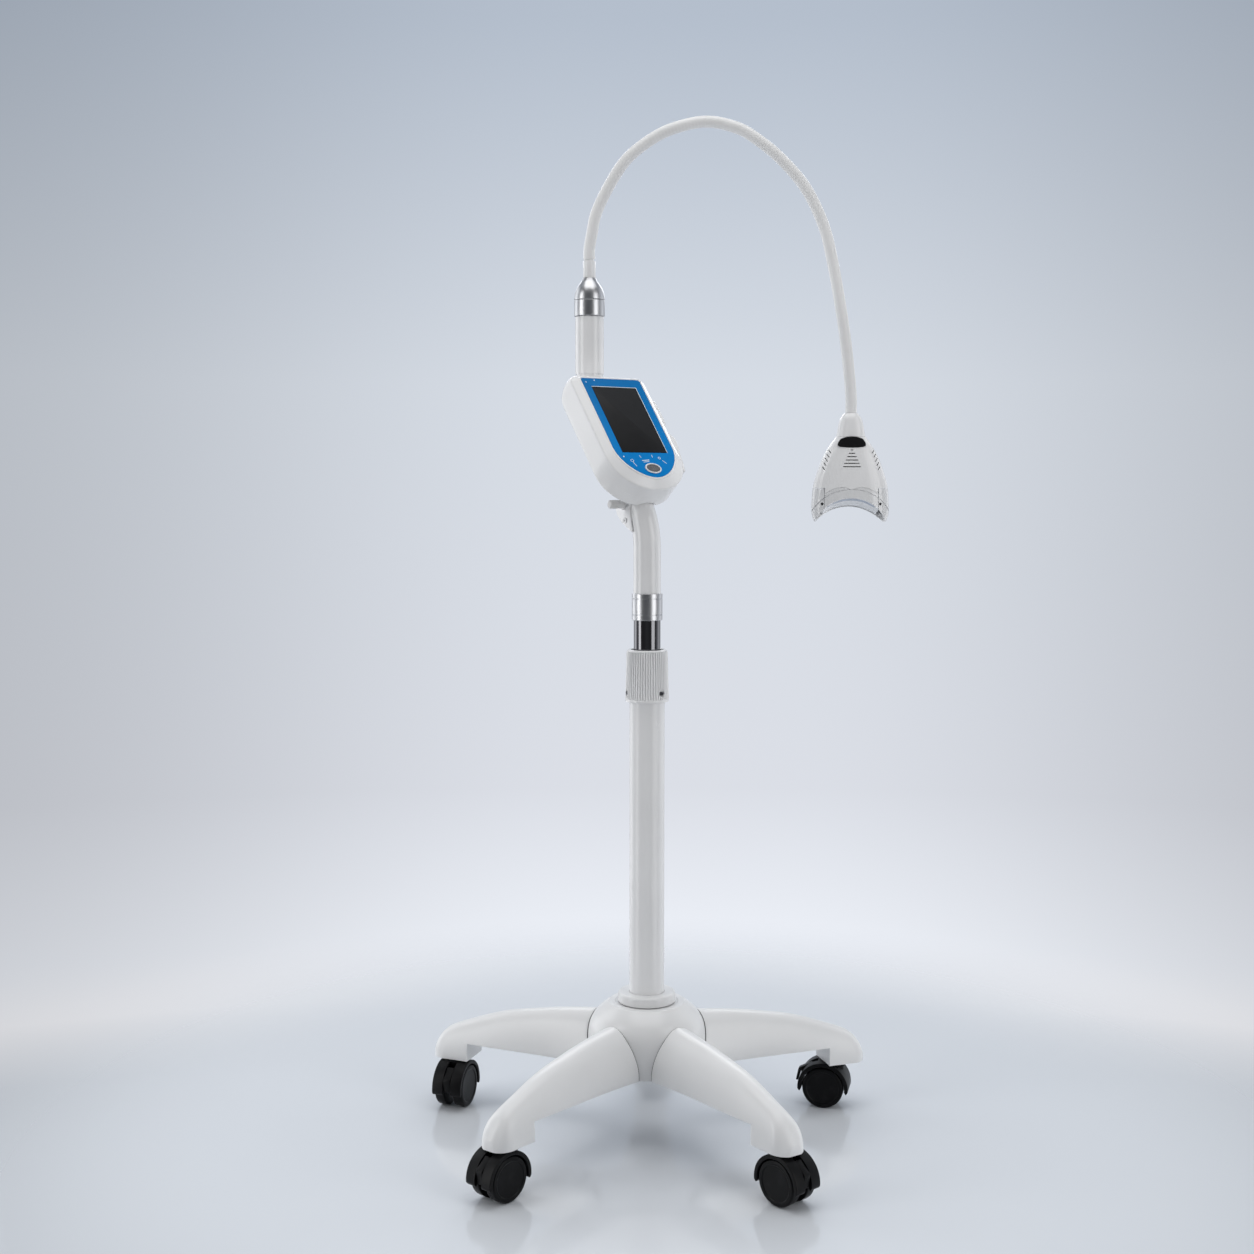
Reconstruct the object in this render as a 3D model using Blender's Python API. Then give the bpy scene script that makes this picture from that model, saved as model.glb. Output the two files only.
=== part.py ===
"""Free-standing teeth whitening lamp on a five-star castor base.

Metres, +Z up. The origin is on the floor under the middle of the whole outline.
-Y is the front of the base, and the lamp head hangs on the +X side.
"""

from math import acos, ceil, cos, pi, radians, sin, sqrt

import bmesh
import bpy
from mathutils import Matrix, Vector

for old in list(bpy.data.objects):
    bpy.data.objects.remove(old, do_unlink=True)

# Fits shared by all pieces
fit_gap = 0.0003
overrun = 0.004

# Where the post stands
post_x = -0.0095
post_y = -0.025

# Base and castors
leg_count = 5
hub_radius = 0.070
hub_bottom = 0.079
hub_top = 0.152
stem_radius_out = 0.243
wheel_radius = 0.025
castor_trail = 0.015

# Post and lift column
post_radius = 0.0205
post_bore = 0.0164
post_top = 0.541
knob_below = 0.0335
knob_above = 0.027
knob_bottom = post_top - knob_below
knob_top = post_top + knob_above
inner_tube_radius = 0.0155
inner_tube_bottom = 0.232
lift_shown = 0.034
ring_height = 0.031
ring_bottom = knob_top + lift_shown
ring_top = ring_bottom + ring_height
ring_seat_depth = 0.015

# Bent mast
mast_radius = 0.0159
mast_wall = 0.0018
mast_turn = radians(37.5)
mast_lean = radians(39.0)
mast_bend = 0.085
mast_foot_shown = 0.051
mast_bend_start = ring_top + mast_foot_shown
mast_offset = 0.1173
upper_tube_radius = 0.0172
upper_tube_shown = 0.0687

# Control box, measured on its front plane down from the top middle of the fascia
box_run = 0.1473
box_standoff = 0.0477
box_half_width = 0.0530
box_depth = 0.0385
box_length = 0.1622
box_corner = 0.012
fascia_half_width = 0.0421
fascia_length = 0.1487
screen_width = 0.0635
screen_length = 0.0998
screen_top = 0.0125

# Flexible arm
band_height = 0.0195
cone_height = 0.0261
sleeve_height = 0.0200
gooseneck_radius = 0.0070
gooseneck_bore = 0.0045
arm_reach = 0.3127
arm_rise = 0.162
arm_drop = 0.180

# Lamp head
head_half_width = 0.0471
head_half_depth = 0.0210
head_height = 0.1325
mouth_radius = 0.0496

# Finishes, as colour, roughness and metallic share
finishes = {
    "white_gloss": ((0.86, 0.87, 0.88), 0.22, 0.0),
    "white_satin": ((0.74, 0.74, 0.73), 0.42, 0.0),
    "white_enamel": ((0.86, 0.87, 0.88), 0.20, 0.0),
    "white_paint": ((0.74, 0.74, 0.73), 0.40, 0.0),
    "white_sheath": ((0.84, 0.85, 0.86), 0.30, 0.0),
    "steel_plate": ((0.30, 0.31, 0.32), 0.45, 0.9),
    "dark_steel": ((0.10, 0.10, 0.11), 0.40, 0.9),
    "satin_aluminium": ((0.66, 0.67, 0.69), 0.30, 1.0),
    "dark_chrome": ((0.06, 0.06, 0.07), 0.12, 1.0),
    "black_nylon": ((0.02, 0.02, 0.022), 0.45, 0.0),
    "dark_grey": ((0.10, 0.10, 0.11), 0.50, 0.0),
    "blue_film": ((0.01, 0.19, 0.56), 0.30, 0.0),
    "screen_black": ((0.03, 0.03, 0.033), 0.08, 0.0),
    "circuit_green": ((0.03, 0.20, 0.08), 0.50, 0.0),
    "mesh_grey": ((0.35, 0.35, 0.37), 0.50, 0.3),
    "grey_plastic": ((0.48, 0.48, 0.49), 0.45, 0.0),
    "clear_grey": ((0.72, 0.73, 0.75), 0.10, 0.0),
    "lens_blue": ((0.50, 0.56, 0.66), 0.08, 0.0),
    "heat_sink": ((0.55, 0.56, 0.58), 0.40, 1.0),
}


def finish(name):
    """Material of one finish, made once."""
    found = bpy.data.materials.get(name)
    if found:
        return found
    colour, roughness, metallic = finishes[name]
    made = bpy.data.materials.new(name)
    made.use_nodes = True
    shader = made.node_tree.nodes["Principled BSDF"]
    shader.inputs["Base Color"].default_value = (*colour, 1.0)
    shader.inputs["Roughness"].default_value = roughness
    shader.inputs["Metallic"].default_value = metallic
    made.diffuse_color = (*colour, 1.0)
    return made


def place(name, mesh, coat, at=None, pivot=None):
    """Add a node whose mesh is given in the frame at, with its own origin at pivot in that frame."""
    at = at or Matrix.Identity(4)
    pivot = Vector(pivot or (0, 0, 0))
    mesh = mesh.copy()
    mesh.transform(Matrix.Translation(-pivot))
    mesh.materials.clear()
    mesh.materials.append(finish(coat))
    mesh.shade_smooth()
    mesh.set_sharp_from_angle(angle=radians(35))
    obj = bpy.data.objects.new(name, mesh)
    bpy.context.scene.collection.objects.link(obj)
    obj.matrix_world = at @ Matrix.Translation(pivot)
    return obj


def mesh_of(bm):
    """Mesh with its faces turned outwards."""
    bmesh.ops.recalc_face_normals(bm, faces=bm.faces)
    mesh = bpy.data.meshes.new("solid")
    bm.to_mesh(mesh)
    bm.free()
    return mesh


def ring_solid(rings, closed=False):
    """Closed body through rings of points. A tube's wall is closed: its last ring meets its first."""
    bm = bmesh.new()
    loops = [[bm.verts.new(point) for point in ring] for ring in rings]
    sides = max(len(loop) for loop in loops)
    last = len(loops) if closed else len(loops) - 1
    for k in range(last):
        low, high = loops[k], loops[(k + 1) % len(loops)]
        if len(low) == 1 and len(high) == 1:
            continue
        for s in range(sides):
            t = (s + 1) % sides
            if len(low) == 1:
                bm.faces.new((low[0], high[t], high[s]))
            elif len(high) == 1:
                bm.faces.new((low[s], low[t], high[0]))
            else:
                bm.faces.new((low[s], low[t], high[t], high[s]))
    if not closed:
        for loop in (loops[0], loops[-1]):
            if len(loop) > 2:
                bm.faces.new(loop)
    return mesh_of(bm)


def circle(radius, height, sides):
    """Ring of points about Z, or one point on the axis."""
    if radius == 0:
        return [(0, 0, height)]
    turns = [2 * pi * s / sides for s in range(sides)]
    return [(radius * cos(a), radius * sin(a), height) for a in turns]


def signed_power(value, power):
    """Power of a value's size, with the value's sign."""
    return abs(value) ** power * (1 if value >= 0 else -1)


def turned(outline, sides):
    """Body turned about Z from a closed outline of radius and height."""
    return ring_solid([circle(radius, height, sides) for radius, height in outline], closed=True)


def prism(outline, low, high):
    """Body extruded along Z from a flat outline."""
    rings = [[(x, y, z) for x, y in outline] for z in (low, high)]
    return ring_solid(rings)


def moved(mesh, matrix):
    """Mesh moved by a matrix, as a copy."""
    copy = mesh.copy()
    copy.transform(matrix)
    return copy


def cylinder(radius, low, high, sides=16, at=(0, 0), axis="Z"):
    """Plain cylinder along Z, or along X or Y through the point at of the other two axes."""
    mesh = prism([(x, y) for x, y, _ in circle(radius, 0, sides)], low, high)
    if axis == "X":
        mesh.transform(Matrix.Translation((0, at[0], at[1])) @ Matrix.Rotation(pi / 2, 4, "Y"))
    elif axis == "Y":
        mesh.transform(Matrix.Translation((at[0], 0, at[1])) @ Matrix.Rotation(-pi / 2, 4, "X"))
    else:
        mesh.transform(Matrix.Translation((at[0], at[1], 0)))
    return mesh


def block(low, high):
    """Box between two corners."""
    outline = [(low[0], low[1]), (high[0], low[1]), (high[0], high[1]), (low[0], high[1])]
    return prism(outline, low[2], high[2])


def combine(base, others, operation):
    """Mesh left when others are taken from base, joined to it or kept in common with it."""
    holder = bpy.data.objects.new("holder", base)
    bpy.context.scene.collection.objects.link(holder)
    helpers = [holder]
    for other in others:
        helper = bpy.data.objects.new("helper", other)
        bpy.context.scene.collection.objects.link(helper)
        helpers.append(helper)
        change = holder.modifiers.new("change", "BOOLEAN")
        change.operation = operation
        change.object = helper
    graph = bpy.context.evaluated_depsgraph_get()
    result = bpy.data.meshes.new_from_object(holder.evaluated_get(graph))
    for helper in helpers:
        bpy.data.objects.remove(helper, do_unlink=True)
    return result


def cut(base, *others):
    """Base without the others."""
    return combine(base, others, "DIFFERENCE")


def join(base, *others):
    """Base fused with the others."""
    return combine(base, others, "UNION")


def common(base, *others):
    """What base shares with all the others."""
    return combine(base, others, "INTERSECT")


def spaced(low, high, steps):
    """Steps plus one values from low to high."""
    return [low + (high - low) * k / steps for k in range(steps + 1)]


def polar(centre, radius, *angles):
    """Points at a radius and angles about a centre."""
    return [(centre[0] + radius * cos(a), centre[1] + radius * sin(a)) for a in angles]


def arc(centre, radius, start, end, steps):
    """Points along a flat arc between two angles."""
    return polar(centre, radius, *spaced(start, end, steps))


def blended(table, at):
    """Value of a rising (place, value) table at one place."""
    for (a, low), (b, high) in zip(table, table[1:]):
        if at <= b:
            return low + (high - low) * max(0, at - a) / (b - a)
    return table[-1][1]


post_frame = Matrix.Translation((post_x, post_y, 0))


# Base hub

bell_shares = ((1.0, 0.0), (1.0, 0.36), (0.97, 0.62), (0.90, 0.77), (0.81, 0.87), (0.71, 0.95), (0.63, 1.0))


def bell(grow):
    """Outer profile of the hub as radius and height, grown by a gap."""
    rise = hub_top - hub_bottom
    return [(hub_radius * wide + grow, hub_bottom + rise * up) for wide, up in bell_shares]


def make_hub():
    """Bell-shaped hub with a sleeve for the post and a hollow open from below."""
    wall = 0.005
    sleeve = 0.0062
    roof_share = 0.60
    bore = post_radius + fit_gap
    roof = hub_bottom + (hub_top - hub_bottom) * roof_share
    outline = [(hub_radius - wall, hub_bottom), *bell(0)]
    outline += [(bore, hub_top), (bore, hub_bottom), (bore + sleeve, hub_bottom)]
    outline += [(bore + sleeve, roof), (hub_radius - 2 * wall, roof), (hub_radius - wall, roof - wall)]
    place("base_hub", turned(outline, 20), "white_satin", post_frame)


# Star plate under the hub, with the studs that hold the legs

plate_thickness = 0.004
stud_out = 0.081
stud_spread = 0.010
stud_radius = 0.003
stud_length = 0.022
leg_turns = [radians(-90 + 360 / leg_count / 2 + 360 / leg_count * k) for k in range(leg_count)]
plate_top = hub_bottom - fit_gap


def make_plate():
    """Plate with a tab under each leg root and two hexagon-headed studs pressed into each tab."""
    waist = 0.060
    tab_out = 0.090
    tab_half = 0.017
    head_radius = 0.0055
    head_height = 0.004
    plate_bottom = plate_top - plate_thickness
    outline = []
    studs = []
    for turn in leg_turns:
        spin = Matrix.Rotation(turn, 3, "Z")
        tab_root = sqrt(waist**2 - tab_half**2)
        tab = ((tab_root, -tab_half), (tab_out, -tab_half), (tab_out, tab_half), (tab_root, tab_half))
        for out, aside in tab:
            corner = spin @ Vector((out, aside, 0))
            outline.append((corner.x, corner.y))
        for side in (-1, 1):
            spot = spin @ Vector((stud_out, side * stud_spread, 0))
            foot = plate_bottom - head_height
            studs.append(cylinder(head_radius, foot, plate_top - plate_thickness / 2, 6, spot.xy))
            studs.append(cylinder(stud_radius, plate_bottom, plate_top + stud_length, 6, spot.xy))
    place("hub_plate", join(prism(outline, plate_bottom, plate_top), *studs), "steel_plate", post_frame)


# Legs, each in a frame with X out from the post

leg_names = ("front_right", "side_right", "back", "side_left", "front_left")
leg_end_radius = 0.020
leg_tip = 0.276
leg_end_centre = leg_tip - leg_end_radius
leg_wall = 0.0035
leg_ridge_at_root = 0.136
leg_half_root = 0.0325
boss_bottom = 0.057
boss_start_share = 0.815
socket_depth = 0.030
stem_pin_radius = 0.005
leg_underside = hub_bottom

# Ridge height as a share of the root height, and half width as a share of the root's, along the leg
ridge_shares = (
    (0.0, 1.03), (0.226, 1.0), (0.40, 0.966), (0.51, 0.932), (0.63, 0.890), (0.72, 0.842),
    (0.82, 0.772), (0.905, 0.706), (0.945, 0.655), (0.975, 0.585), (0.99, 0.525), (1.0, 0.48),
)
half_shares = (
    (0.0, 1.13), (0.22, 1.10), (0.30, 1.0), (0.40, 0.90),
    (0.55, 0.80), (0.72, 0.715), (0.85, 0.635), (0.928, 0.615),
)
station_shares = (0.17, 0.226, 0.34, 0.47, 0.60, 0.72, 0.80, 0.83, 0.90, 0.945, 0.975, 0.995)


def leg_section(out, shrink, floor):
    """Arched cross-section of a leg at one distance from the post."""
    arch_steps = 7
    root_fullness = 1.75
    fullness_gain = 0.55
    wall_share = 0.10
    share = out / leg_tip
    top = leg_ridge_at_root * blended(ridge_shares, share) - shrink
    half = leg_half_root * blended(half_shares, share)
    if out > leg_end_centre:
        half = min(half, sqrt(max(leg_end_radius**2 - (out - leg_end_centre) ** 2, 0)))
    half -= shrink
    spring = floor + (top - floor) * wall_share
    power = 2 / (root_fullness + fullness_gain * share)
    ring = [(out, half, floor)]
    for turn in spaced(0, pi, arch_steps):
        side = signed_power(cos(turn), power)
        ring.append((out, half * side, spring + (top - spring) * sin(turn) ** power))
    ring.append((out, -half, floor))
    return ring


def make_legs():
    """Five legs with hollow undersides, each cut to the round of the hub."""
    rings = []
    for share in station_shares:
        deep = boss_bottom if share > boss_start_share else leg_underside
        rings.append(leg_section(share * leg_tip, 0, deep))
    leg = ring_solid(rings)
    hollow_shares = (0.35, 0.45, 0.60, 0.76)
    hollow = ring_solid([leg_section(s * leg_tip, leg_wall, leg_underside - overrun) for s in hollow_shares])
    top, foot = 2 * leg_ridge_at_root, boss_bottom - overrun
    sides = 30
    grow = fit_gap + hub_radius * (1 / cos(pi / sides) - 1)
    hub = turned([(0, foot), (hub_radius + grow, foot), *bell(grow), (0, top)], sides)
    hub.transform(Matrix.Rotation(pi / sides, 4, "Z"))
    socket_top = boss_bottom + socket_depth
    socket = cylinder(stem_pin_radius + fit_gap, boss_bottom - overrun, socket_top, 12, (stem_radius_out, 0))
    cutters = [hollow, hub, socket]
    for side in (-1, 1):
        hole_top = plate_top + stud_length + fit_gap
        spot = (stud_out, side * stud_spread)
        cutters.append(cylinder(stud_radius + 2 * fit_gap, leg_underside - overrun, hole_top, 6, spot))
    leg = cut(leg, *cutters)
    for name, turn in zip(leg_names, leg_turns):
        place(f"leg_{name}", leg, "white_satin", post_frame @ Matrix.Rotation(turn, 4, "Z"))


# Castors, each in a frame with its stem on Z and X towards the wheels

castor_headings = {
    "front_right": radians(-46), "side_right": radians(168), "back": radians(60),
    "side_left": radians(-106), "front_left": radians(-130),
}
levers_released = ("side_right", "back")
wheel_gap = 0.0055
wheel_width = 0.0125
axle_radius = 0.003
hood_radius = 0.0308
hood_inner = 0.0262
hood_half = 0.0186
web_half = 0.005
seat_height = 0.0502
collar_radius = 0.008
lever_half = 0.0045
lever_turn = radians(58)
lever_pivot_radius = 0.0282
lever_press = radians(16)
lever_pin_radius = 0.0011
lever_pin_half = 0.0075


def lever_pivot():
    """Point of the lever's pin in the castor frame."""
    reach = Vector((cos(lever_turn), 0, sin(lever_turn))) * lever_pivot_radius
    return Vector((castor_trail, 0, wheel_radius)) + reach


def castor_frame(name):
    """Frame of one castor, on the floor under its stem."""
    turn = leg_turns[leg_names.index(name)]
    spot = Matrix.Rotation(turn, 3, "Z") @ Vector((stem_radius_out, 0, 0))
    return post_frame @ Matrix.Translation(spot) @ Matrix.Rotation(castor_headings[name], 4, "Z")


def on_side(outline, half):
    """Body extruded along Y from an outline in X and Z."""
    mesh = prism(outline, -half, half)
    mesh.transform(Matrix.Rotation(pi / 2, 4, "X"))
    return mesh


def hood_mesh():
    """Hood over both wheels, with the web between them, the stem and the slot and pin holes of the lever."""
    axle = (castor_trail, wheel_radius)
    finger_low = radians(-10)
    finger_high = radians(192)
    finger_taper = radians(8)
    slot_end = radians(76)
    slot_inner = 0.0225
    web_start = radians(84)
    web_end = radians(150)
    hub_round = 0.0085
    wall_middle = (hood_radius + hood_inner) / 2
    fender = arc(axle, hood_radius, finger_low + finger_taper, finger_high - finger_taper, 8)
    fender += polar(axle, wall_middle, finger_high)
    fender += arc(axle, hood_inner, finger_high - finger_taper, finger_low + finger_taper, 8)
    fender += polar(axle, wall_middle, finger_low)
    web = arc(axle, wall_middle, web_start, web_end, 3)
    web += arc(axle, hub_round, radians(180), radians(400), 6)
    wheel_room = cylinder(hood_inner + fit_gap, -2 * hood_half, 2 * hood_half, 20, axle, "Y")
    body = join(on_side(fender, hood_half), on_side(web, web_half), cut(stem_mesh(), wheel_room))
    slot = arc(axle, slot_inner, 2 * finger_low, slot_end, 2)
    slot += arc(axle, hood_radius + overrun, slot_end, 2 * finger_low, 3)
    bore = cylinder(axle_radius + fit_gap, -hood_half, hood_half, 10, axle, "Y")
    pivot = lever_pivot()
    pin_holes = cylinder(lever_pin_radius + fit_gap, -lever_pin_half - fit_gap, lever_pin_half + fit_gap, 8,
                         (pivot.x, pivot.z), "Y")
    return cut(body, bore, on_side(slot, lever_half + 2 * fit_gap), pin_holes)


def wheels_mesh():
    """Twin wheels on one axle, turned about Z and laid along Y."""
    far = wheel_gap + wheel_width
    dish = 0.0015
    rim = 0.0030
    edge = 0.0020
    half = [(axle_radius, wheel_gap), (wheel_radius, wheel_gap), (wheel_radius, far - edge)]
    half += [(wheel_radius - edge, far), (wheel_radius - rim - edge, far - dish), (0, far - dish)]
    outline = [(radius, -height) for radius, height in reversed(half)] + half
    mesh = turned(outline, 16)
    mesh.transform(Matrix.Rotation(pi / 2, 4, "X"))
    return mesh


def lever_mesh():
    """Brake lever in a frame at its pivot: a nose in the slot and a tab that turns down outside."""
    nose = 0.0022
    reach = 0.0165
    tab = 0.0140
    thick = 0.0028
    drop = radians(-26)
    bend = (reach * cos(drop), reach * sin(drop))
    fall = radians(-76)
    tip = (bend[0] + tab * cos(fall), bend[1] + tab * sin(fall))
    outline = [(-nose, 0), (0, nose), (bend[0] + thick * 0.6, bend[1] + thick * 0.5)]
    outline += [(tip[0] + thick * 0.5, tip[1]), (tip[0] - thick * 0.5, tip[1])]
    outline += [(bend[0] - thick * 0.5, bend[1] - thick * 0.8), (0, -nose * 0.7)]
    pin = cylinder(lever_pin_radius, -lever_pin_half, lever_pin_half, 8, (0, 0), "Y")
    return join(on_side(outline, lever_half), pin)


def stem_mesh():
    """Stem with its seat on the hood, a collar and the pin that turns in the leg's socket."""
    seat_radius = 0.0092
    seat_foot = wheel_radius + hood_inner * 0.8
    pin_top = boss_bottom + socket_depth - fit_gap
    collar_top = boss_bottom - fit_gap
    lead = 0.001
    outline = [(0, seat_foot), (seat_radius, seat_foot), (seat_radius, seat_height)]
    outline += [(collar_radius, seat_height), (collar_radius, collar_top)]
    outline += [(stem_pin_radius, collar_top), (stem_pin_radius, pin_top - lead)]
    outline += [(stem_pin_radius - lead, pin_top), (0, pin_top)]
    return turned(outline, 10)


def make_castors():
    """Five castors."""
    hood, wheels, lever = hood_mesh(), wheels_mesh(), lever_mesh()
    pivot = lever_pivot()
    axle = Vector((castor_trail, 0, wheel_radius))
    for name in leg_names:
        frame = castor_frame(name)
        place(f"castor_hood_{name}", hood, "black_nylon", frame)
        place(f"castor_wheels_{name}", wheels, "black_nylon", frame @ Matrix.Translation(axle))
        press = 0 if name in levers_released else lever_press
        tilt = Matrix.Rotation(press, 4, "Y")
        place(f"castor_lever_{name}", lever, "black_nylon", frame @ Matrix.Translation(pivot) @ tilt)


# Post, collar, clamp knob and inner tube

set_screw_names = ("front", "back", "left")
set_screw_turns = [radians(a) for a in (-44, 76, 196)]
set_screw_radius = 0.0022
set_screw_height = 0.0105
knob_foot_radius = 0.0252
knob_head_radius = 0.0235


def make_post():
    """Post tube standing on the plate, and the collar on the hub."""
    sides = 24
    foot = hub_bottom
    collar_bottom = hub_top + fit_gap
    collar_height = 0.0115
    collar_radius_out = 0.0337
    edge = 0.0025
    bore = post_radius + fit_gap
    outline = [(post_bore, foot), (post_radius, foot), (post_radius, post_top), (post_bore, post_top)]
    place("post_tube", turned(outline, sides), "white_paint", post_frame)
    top = collar_bottom + collar_height
    outline = [(bore, collar_bottom), (collar_radius_out, collar_bottom), (collar_radius_out, top - edge)]
    outline += [(collar_radius_out - edge, top), (bore, top)]
    place("post_collar", turned(outline, sides), "white_satin", post_frame)


def make_clamp_knob():
    """Ribbed clamp knob with three set screws, and the bush that it closes on the inner tube."""
    rib_count = 26
    rib_depth = 0.0007
    lip = 0.003
    chamfer = 0.0008
    bore = post_radius + fit_gap
    rings = []

    def ribbed(radius, height, depth):
        ring = []
        for k in range(2 * rib_count):
            r = radius - depth * (k % 2)
            ring.append((r * cos(pi * k / rib_count), r * sin(pi * k / rib_count), height))
        return ring

    rings.append(ribbed(knob_foot_radius, knob_bottom, 0))
    rings.append(ribbed(knob_foot_radius, knob_bottom + lip, rib_depth))
    rings.append(ribbed(knob_head_radius, knob_top - lip, rib_depth))
    rings.append(ribbed(knob_head_radius - chamfer, knob_top, 0))
    rings.append(ribbed(bore, knob_top, 0))
    rings.append(ribbed(bore, knob_bottom, 0))
    knob = ring_solid(rings, closed=True)
    height = knob_bottom + set_screw_height
    holes = []
    for name, turn in zip(set_screw_names, set_screw_turns):
        spin = Matrix.Rotation(turn, 4, "Z")
        outside = knob_foot_radius + overrun
        hole = cylinder(set_screw_radius + fit_gap, post_radius, outside, 12, (0, height), "X")
        recess = 0.0008
        screw = cylinder(set_screw_radius, bore, knob_foot_radius - recess, 10, (0, height), "X")
        holes.append(moved(hole, spin))
        place(f"set_screw_{name}", moved(screw, spin), "dark_steel", post_frame)
    place("clamp_knob", cut(knob, *holes), "white_gloss", post_frame)
    bush_recess = 0.0045
    bush_in = inner_tube_radius + fit_gap
    bush_out = bore - fit_gap
    low, high = post_top + fit_gap, knob_top - bush_recess
    outline = [(bush_in, low), (bush_out, low), (bush_out, high), (bush_in, high)]
    place("clamp_bush", turned(outline, 22), "dark_grey", post_frame)


def make_column():
    """Inner tube that lifts, and the ring on its top where the mast turns."""
    wall = 0.0015
    sides = 20
    tube_top = ring_bottom + ring_seat_depth
    groove = 0.0008
    low_groove = 0.0065
    high_groove = 0.0250
    ring_radius = 0.0177
    inner = inner_tube_radius - wall
    outline = [(inner, inner_tube_bottom), (inner_tube_radius, inner_tube_bottom)]
    outline += [(inner_tube_radius, tube_top), (inner, tube_top)]
    place("inner_tube", turned(outline, sides), "dark_chrome", post_frame)
    low_bore = inner_tube_radius + fit_gap
    high_bore = mast_radius + fit_gap
    step = tube_top + fit_gap
    outline = [(low_bore, ring_bottom), (ring_radius - groove, ring_bottom)]
    outline += [(ring_radius, ring_bottom + groove)]
    for height in (low_groove, high_groove):
        middle = ring_bottom + height
        outline += [(ring_radius, middle - groove), (ring_radius - groove, middle)]
        outline += [(ring_radius, middle + groove)]
    outline += [(ring_radius, ring_top - groove), (ring_radius - groove, ring_top), (high_bore, ring_top)]
    outline += [(high_bore, step), (low_bore, step)]
    place("swivel_ring", turned(outline, sides), "satin_aluminium", post_frame)


# Bent mast, in a frame on the post's axis with Y along its lean

mast_frame = post_frame @ Matrix.Rotation(mast_turn, 4, "Z")
slope_run = (mast_offset - 2 * mast_bend * (1 - cos(mast_lean))) / sin(mast_lean)
mast_bend_end = mast_bend_start + 2 * mast_bend * sin(mast_lean) + slope_run * cos(mast_lean)
upper_tube_top = mast_bend_end + upper_tube_shown
ring_seat = ring_bottom + ring_seat_depth + 2 * fit_gap


def mast_point(run):
    """Place along the mast's centreline and its lean, from the start of the lower bend."""
    bend_run = mast_bend * mast_lean
    if run < 0:
        return Vector((0, 0, mast_bend_start + run)), 0.0
    if run < bend_run:
        lean = run / mast_bend
        spot = Vector((0, mast_bend * (1 - cos(lean)), mast_bend_start + mast_bend * sin(lean)))
        return spot, lean
    low = Vector((0, mast_bend * (1 - cos(mast_lean)), mast_bend_start + mast_bend * sin(mast_lean)))
    along = Vector((0, sin(mast_lean), cos(mast_lean)))
    if run < bend_run + slope_run:
        return low + along * (run - bend_run), mast_lean
    past = run - bend_run - slope_run
    if past < bend_run:
        lean = mast_lean - past / mast_bend
        back = Vector((0, mast_bend * (1 - cos(lean)), mast_bend * sin(lean)))
        return Vector((0, mast_offset, mast_bend_end)) - back, lean
    return Vector((0, mast_offset, mast_bend_end + past - bend_run)), 0.0


bend_run = mast_bend * mast_lean
mast_start_run = ring_seat - mast_bend_start
mast_top_overlap = 0.045
mast_end_run = 2 * bend_run + slope_run + mast_top_overlap


def mast_rings(radius):
    """Rings square to the mast from its foot to its top, set closely only round the bends."""
    bend_steps = 5
    runs = [mast_start_run] + spaced(0, bend_run, bend_steps)
    runs += spaced(bend_run + slope_run, 2 * bend_run + slope_run, bend_steps) + [mast_end_run]
    rings = []
    for run in runs:
        spot, lean = mast_point(run)
        tilt = Matrix.Rotation(-lean, 3, "X")
        rings.append([spot + tilt @ Vector(point) for point in circle(radius, 0, 18)])
    return rings


def make_mast():
    """Bent tube in the ring, and the straight upper tube over its end."""
    mesh = ring_solid(mast_rings(mast_radius) + mast_rings(mast_radius - mast_wall)[::-1], closed=True)
    place("mast_bent_tube", mesh, "white_enamel", mast_frame)
    bore = mast_radius + fit_gap
    lift = 0.001
    low = mast_bend_end + lift
    plug = mast_bend_end + mast_top_overlap + fit_gap
    outline = [(bore, low), (upper_tube_radius, low), (upper_tube_radius, upper_tube_top)]
    outline += [(bore - mast_wall, upper_tube_top), (bore - mast_wall, plug), (bore, plug)]
    place("mast_upper_tube", turned(outline, 22), "white_enamel", arm_frame)


# Arm, in a frame on the upper tube's axis with X towards the head

arm_frame = Matrix.Translation(mast_frame @ Vector((0, mast_offset, 0)))
band_top = upper_tube_top + band_height
cone_top = band_top + cone_height
sleeve_top = cone_top + sleeve_height
band_radius = 0.0183
spigot_radius = 0.0120
spigot_height = 0.0090


def make_ferrule():
    """Band fixed on the upper tube, and the cone that turns on its spigot."""
    lip = 0.0006
    sides = 20
    low = upper_tube_top + fit_gap
    top = band_top
    spigot_top = top + spigot_height
    bore = spigot_radius - 0.003
    outline = [(bore, low), (band_radius - lip, low), (band_radius, low + lip), (band_radius, top - lip)]
    outline += [(band_radius - lip, top), (spigot_radius, top)]
    outline += [(spigot_radius, spigot_top), (bore, spigot_top)]
    place("ferrule_band", turned(outline, sides), "satin_aluminium", arm_frame)
    base = top + fit_gap
    rise = cone_top - base
    shoulder_shares = (
        (0.0, 0.97), (0.03, 1.0), (0.28, 0.955), (0.50, 0.85), (0.70, 0.68), (0.86, 0.52), (1.0, 0.42),
    )
    room_radius = spigot_radius + fit_gap
    room_top = spigot_top + fit_gap
    wire_hole = gooseneck_bore
    outline = [(band_radius * wide, base + rise * up) for up, wide in shoulder_shares]
    outline += [(wire_hole, cone_top), (wire_hole, room_top), (room_radius, room_top), (room_radius, base)]
    place("ferrule_cone", turned(outline, sides), "satin_aluminium", arm_frame)
    sleeve_step = 0.0004
    sleeve_radius = gooseneck_radius + sleeve_step
    low = cone_top + fit_gap
    high = sleeve_top
    outline = [(0, low), (sleeve_radius, low), (sleeve_radius, high)]
    outline += ball_outline(high)
    place("gooseneck_sleeve", turned(outline, 16), "white_enamel", arm_frame)


# Route of the gooseneck from the top of its sleeve, as shares of its reach and its rise or drop

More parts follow.
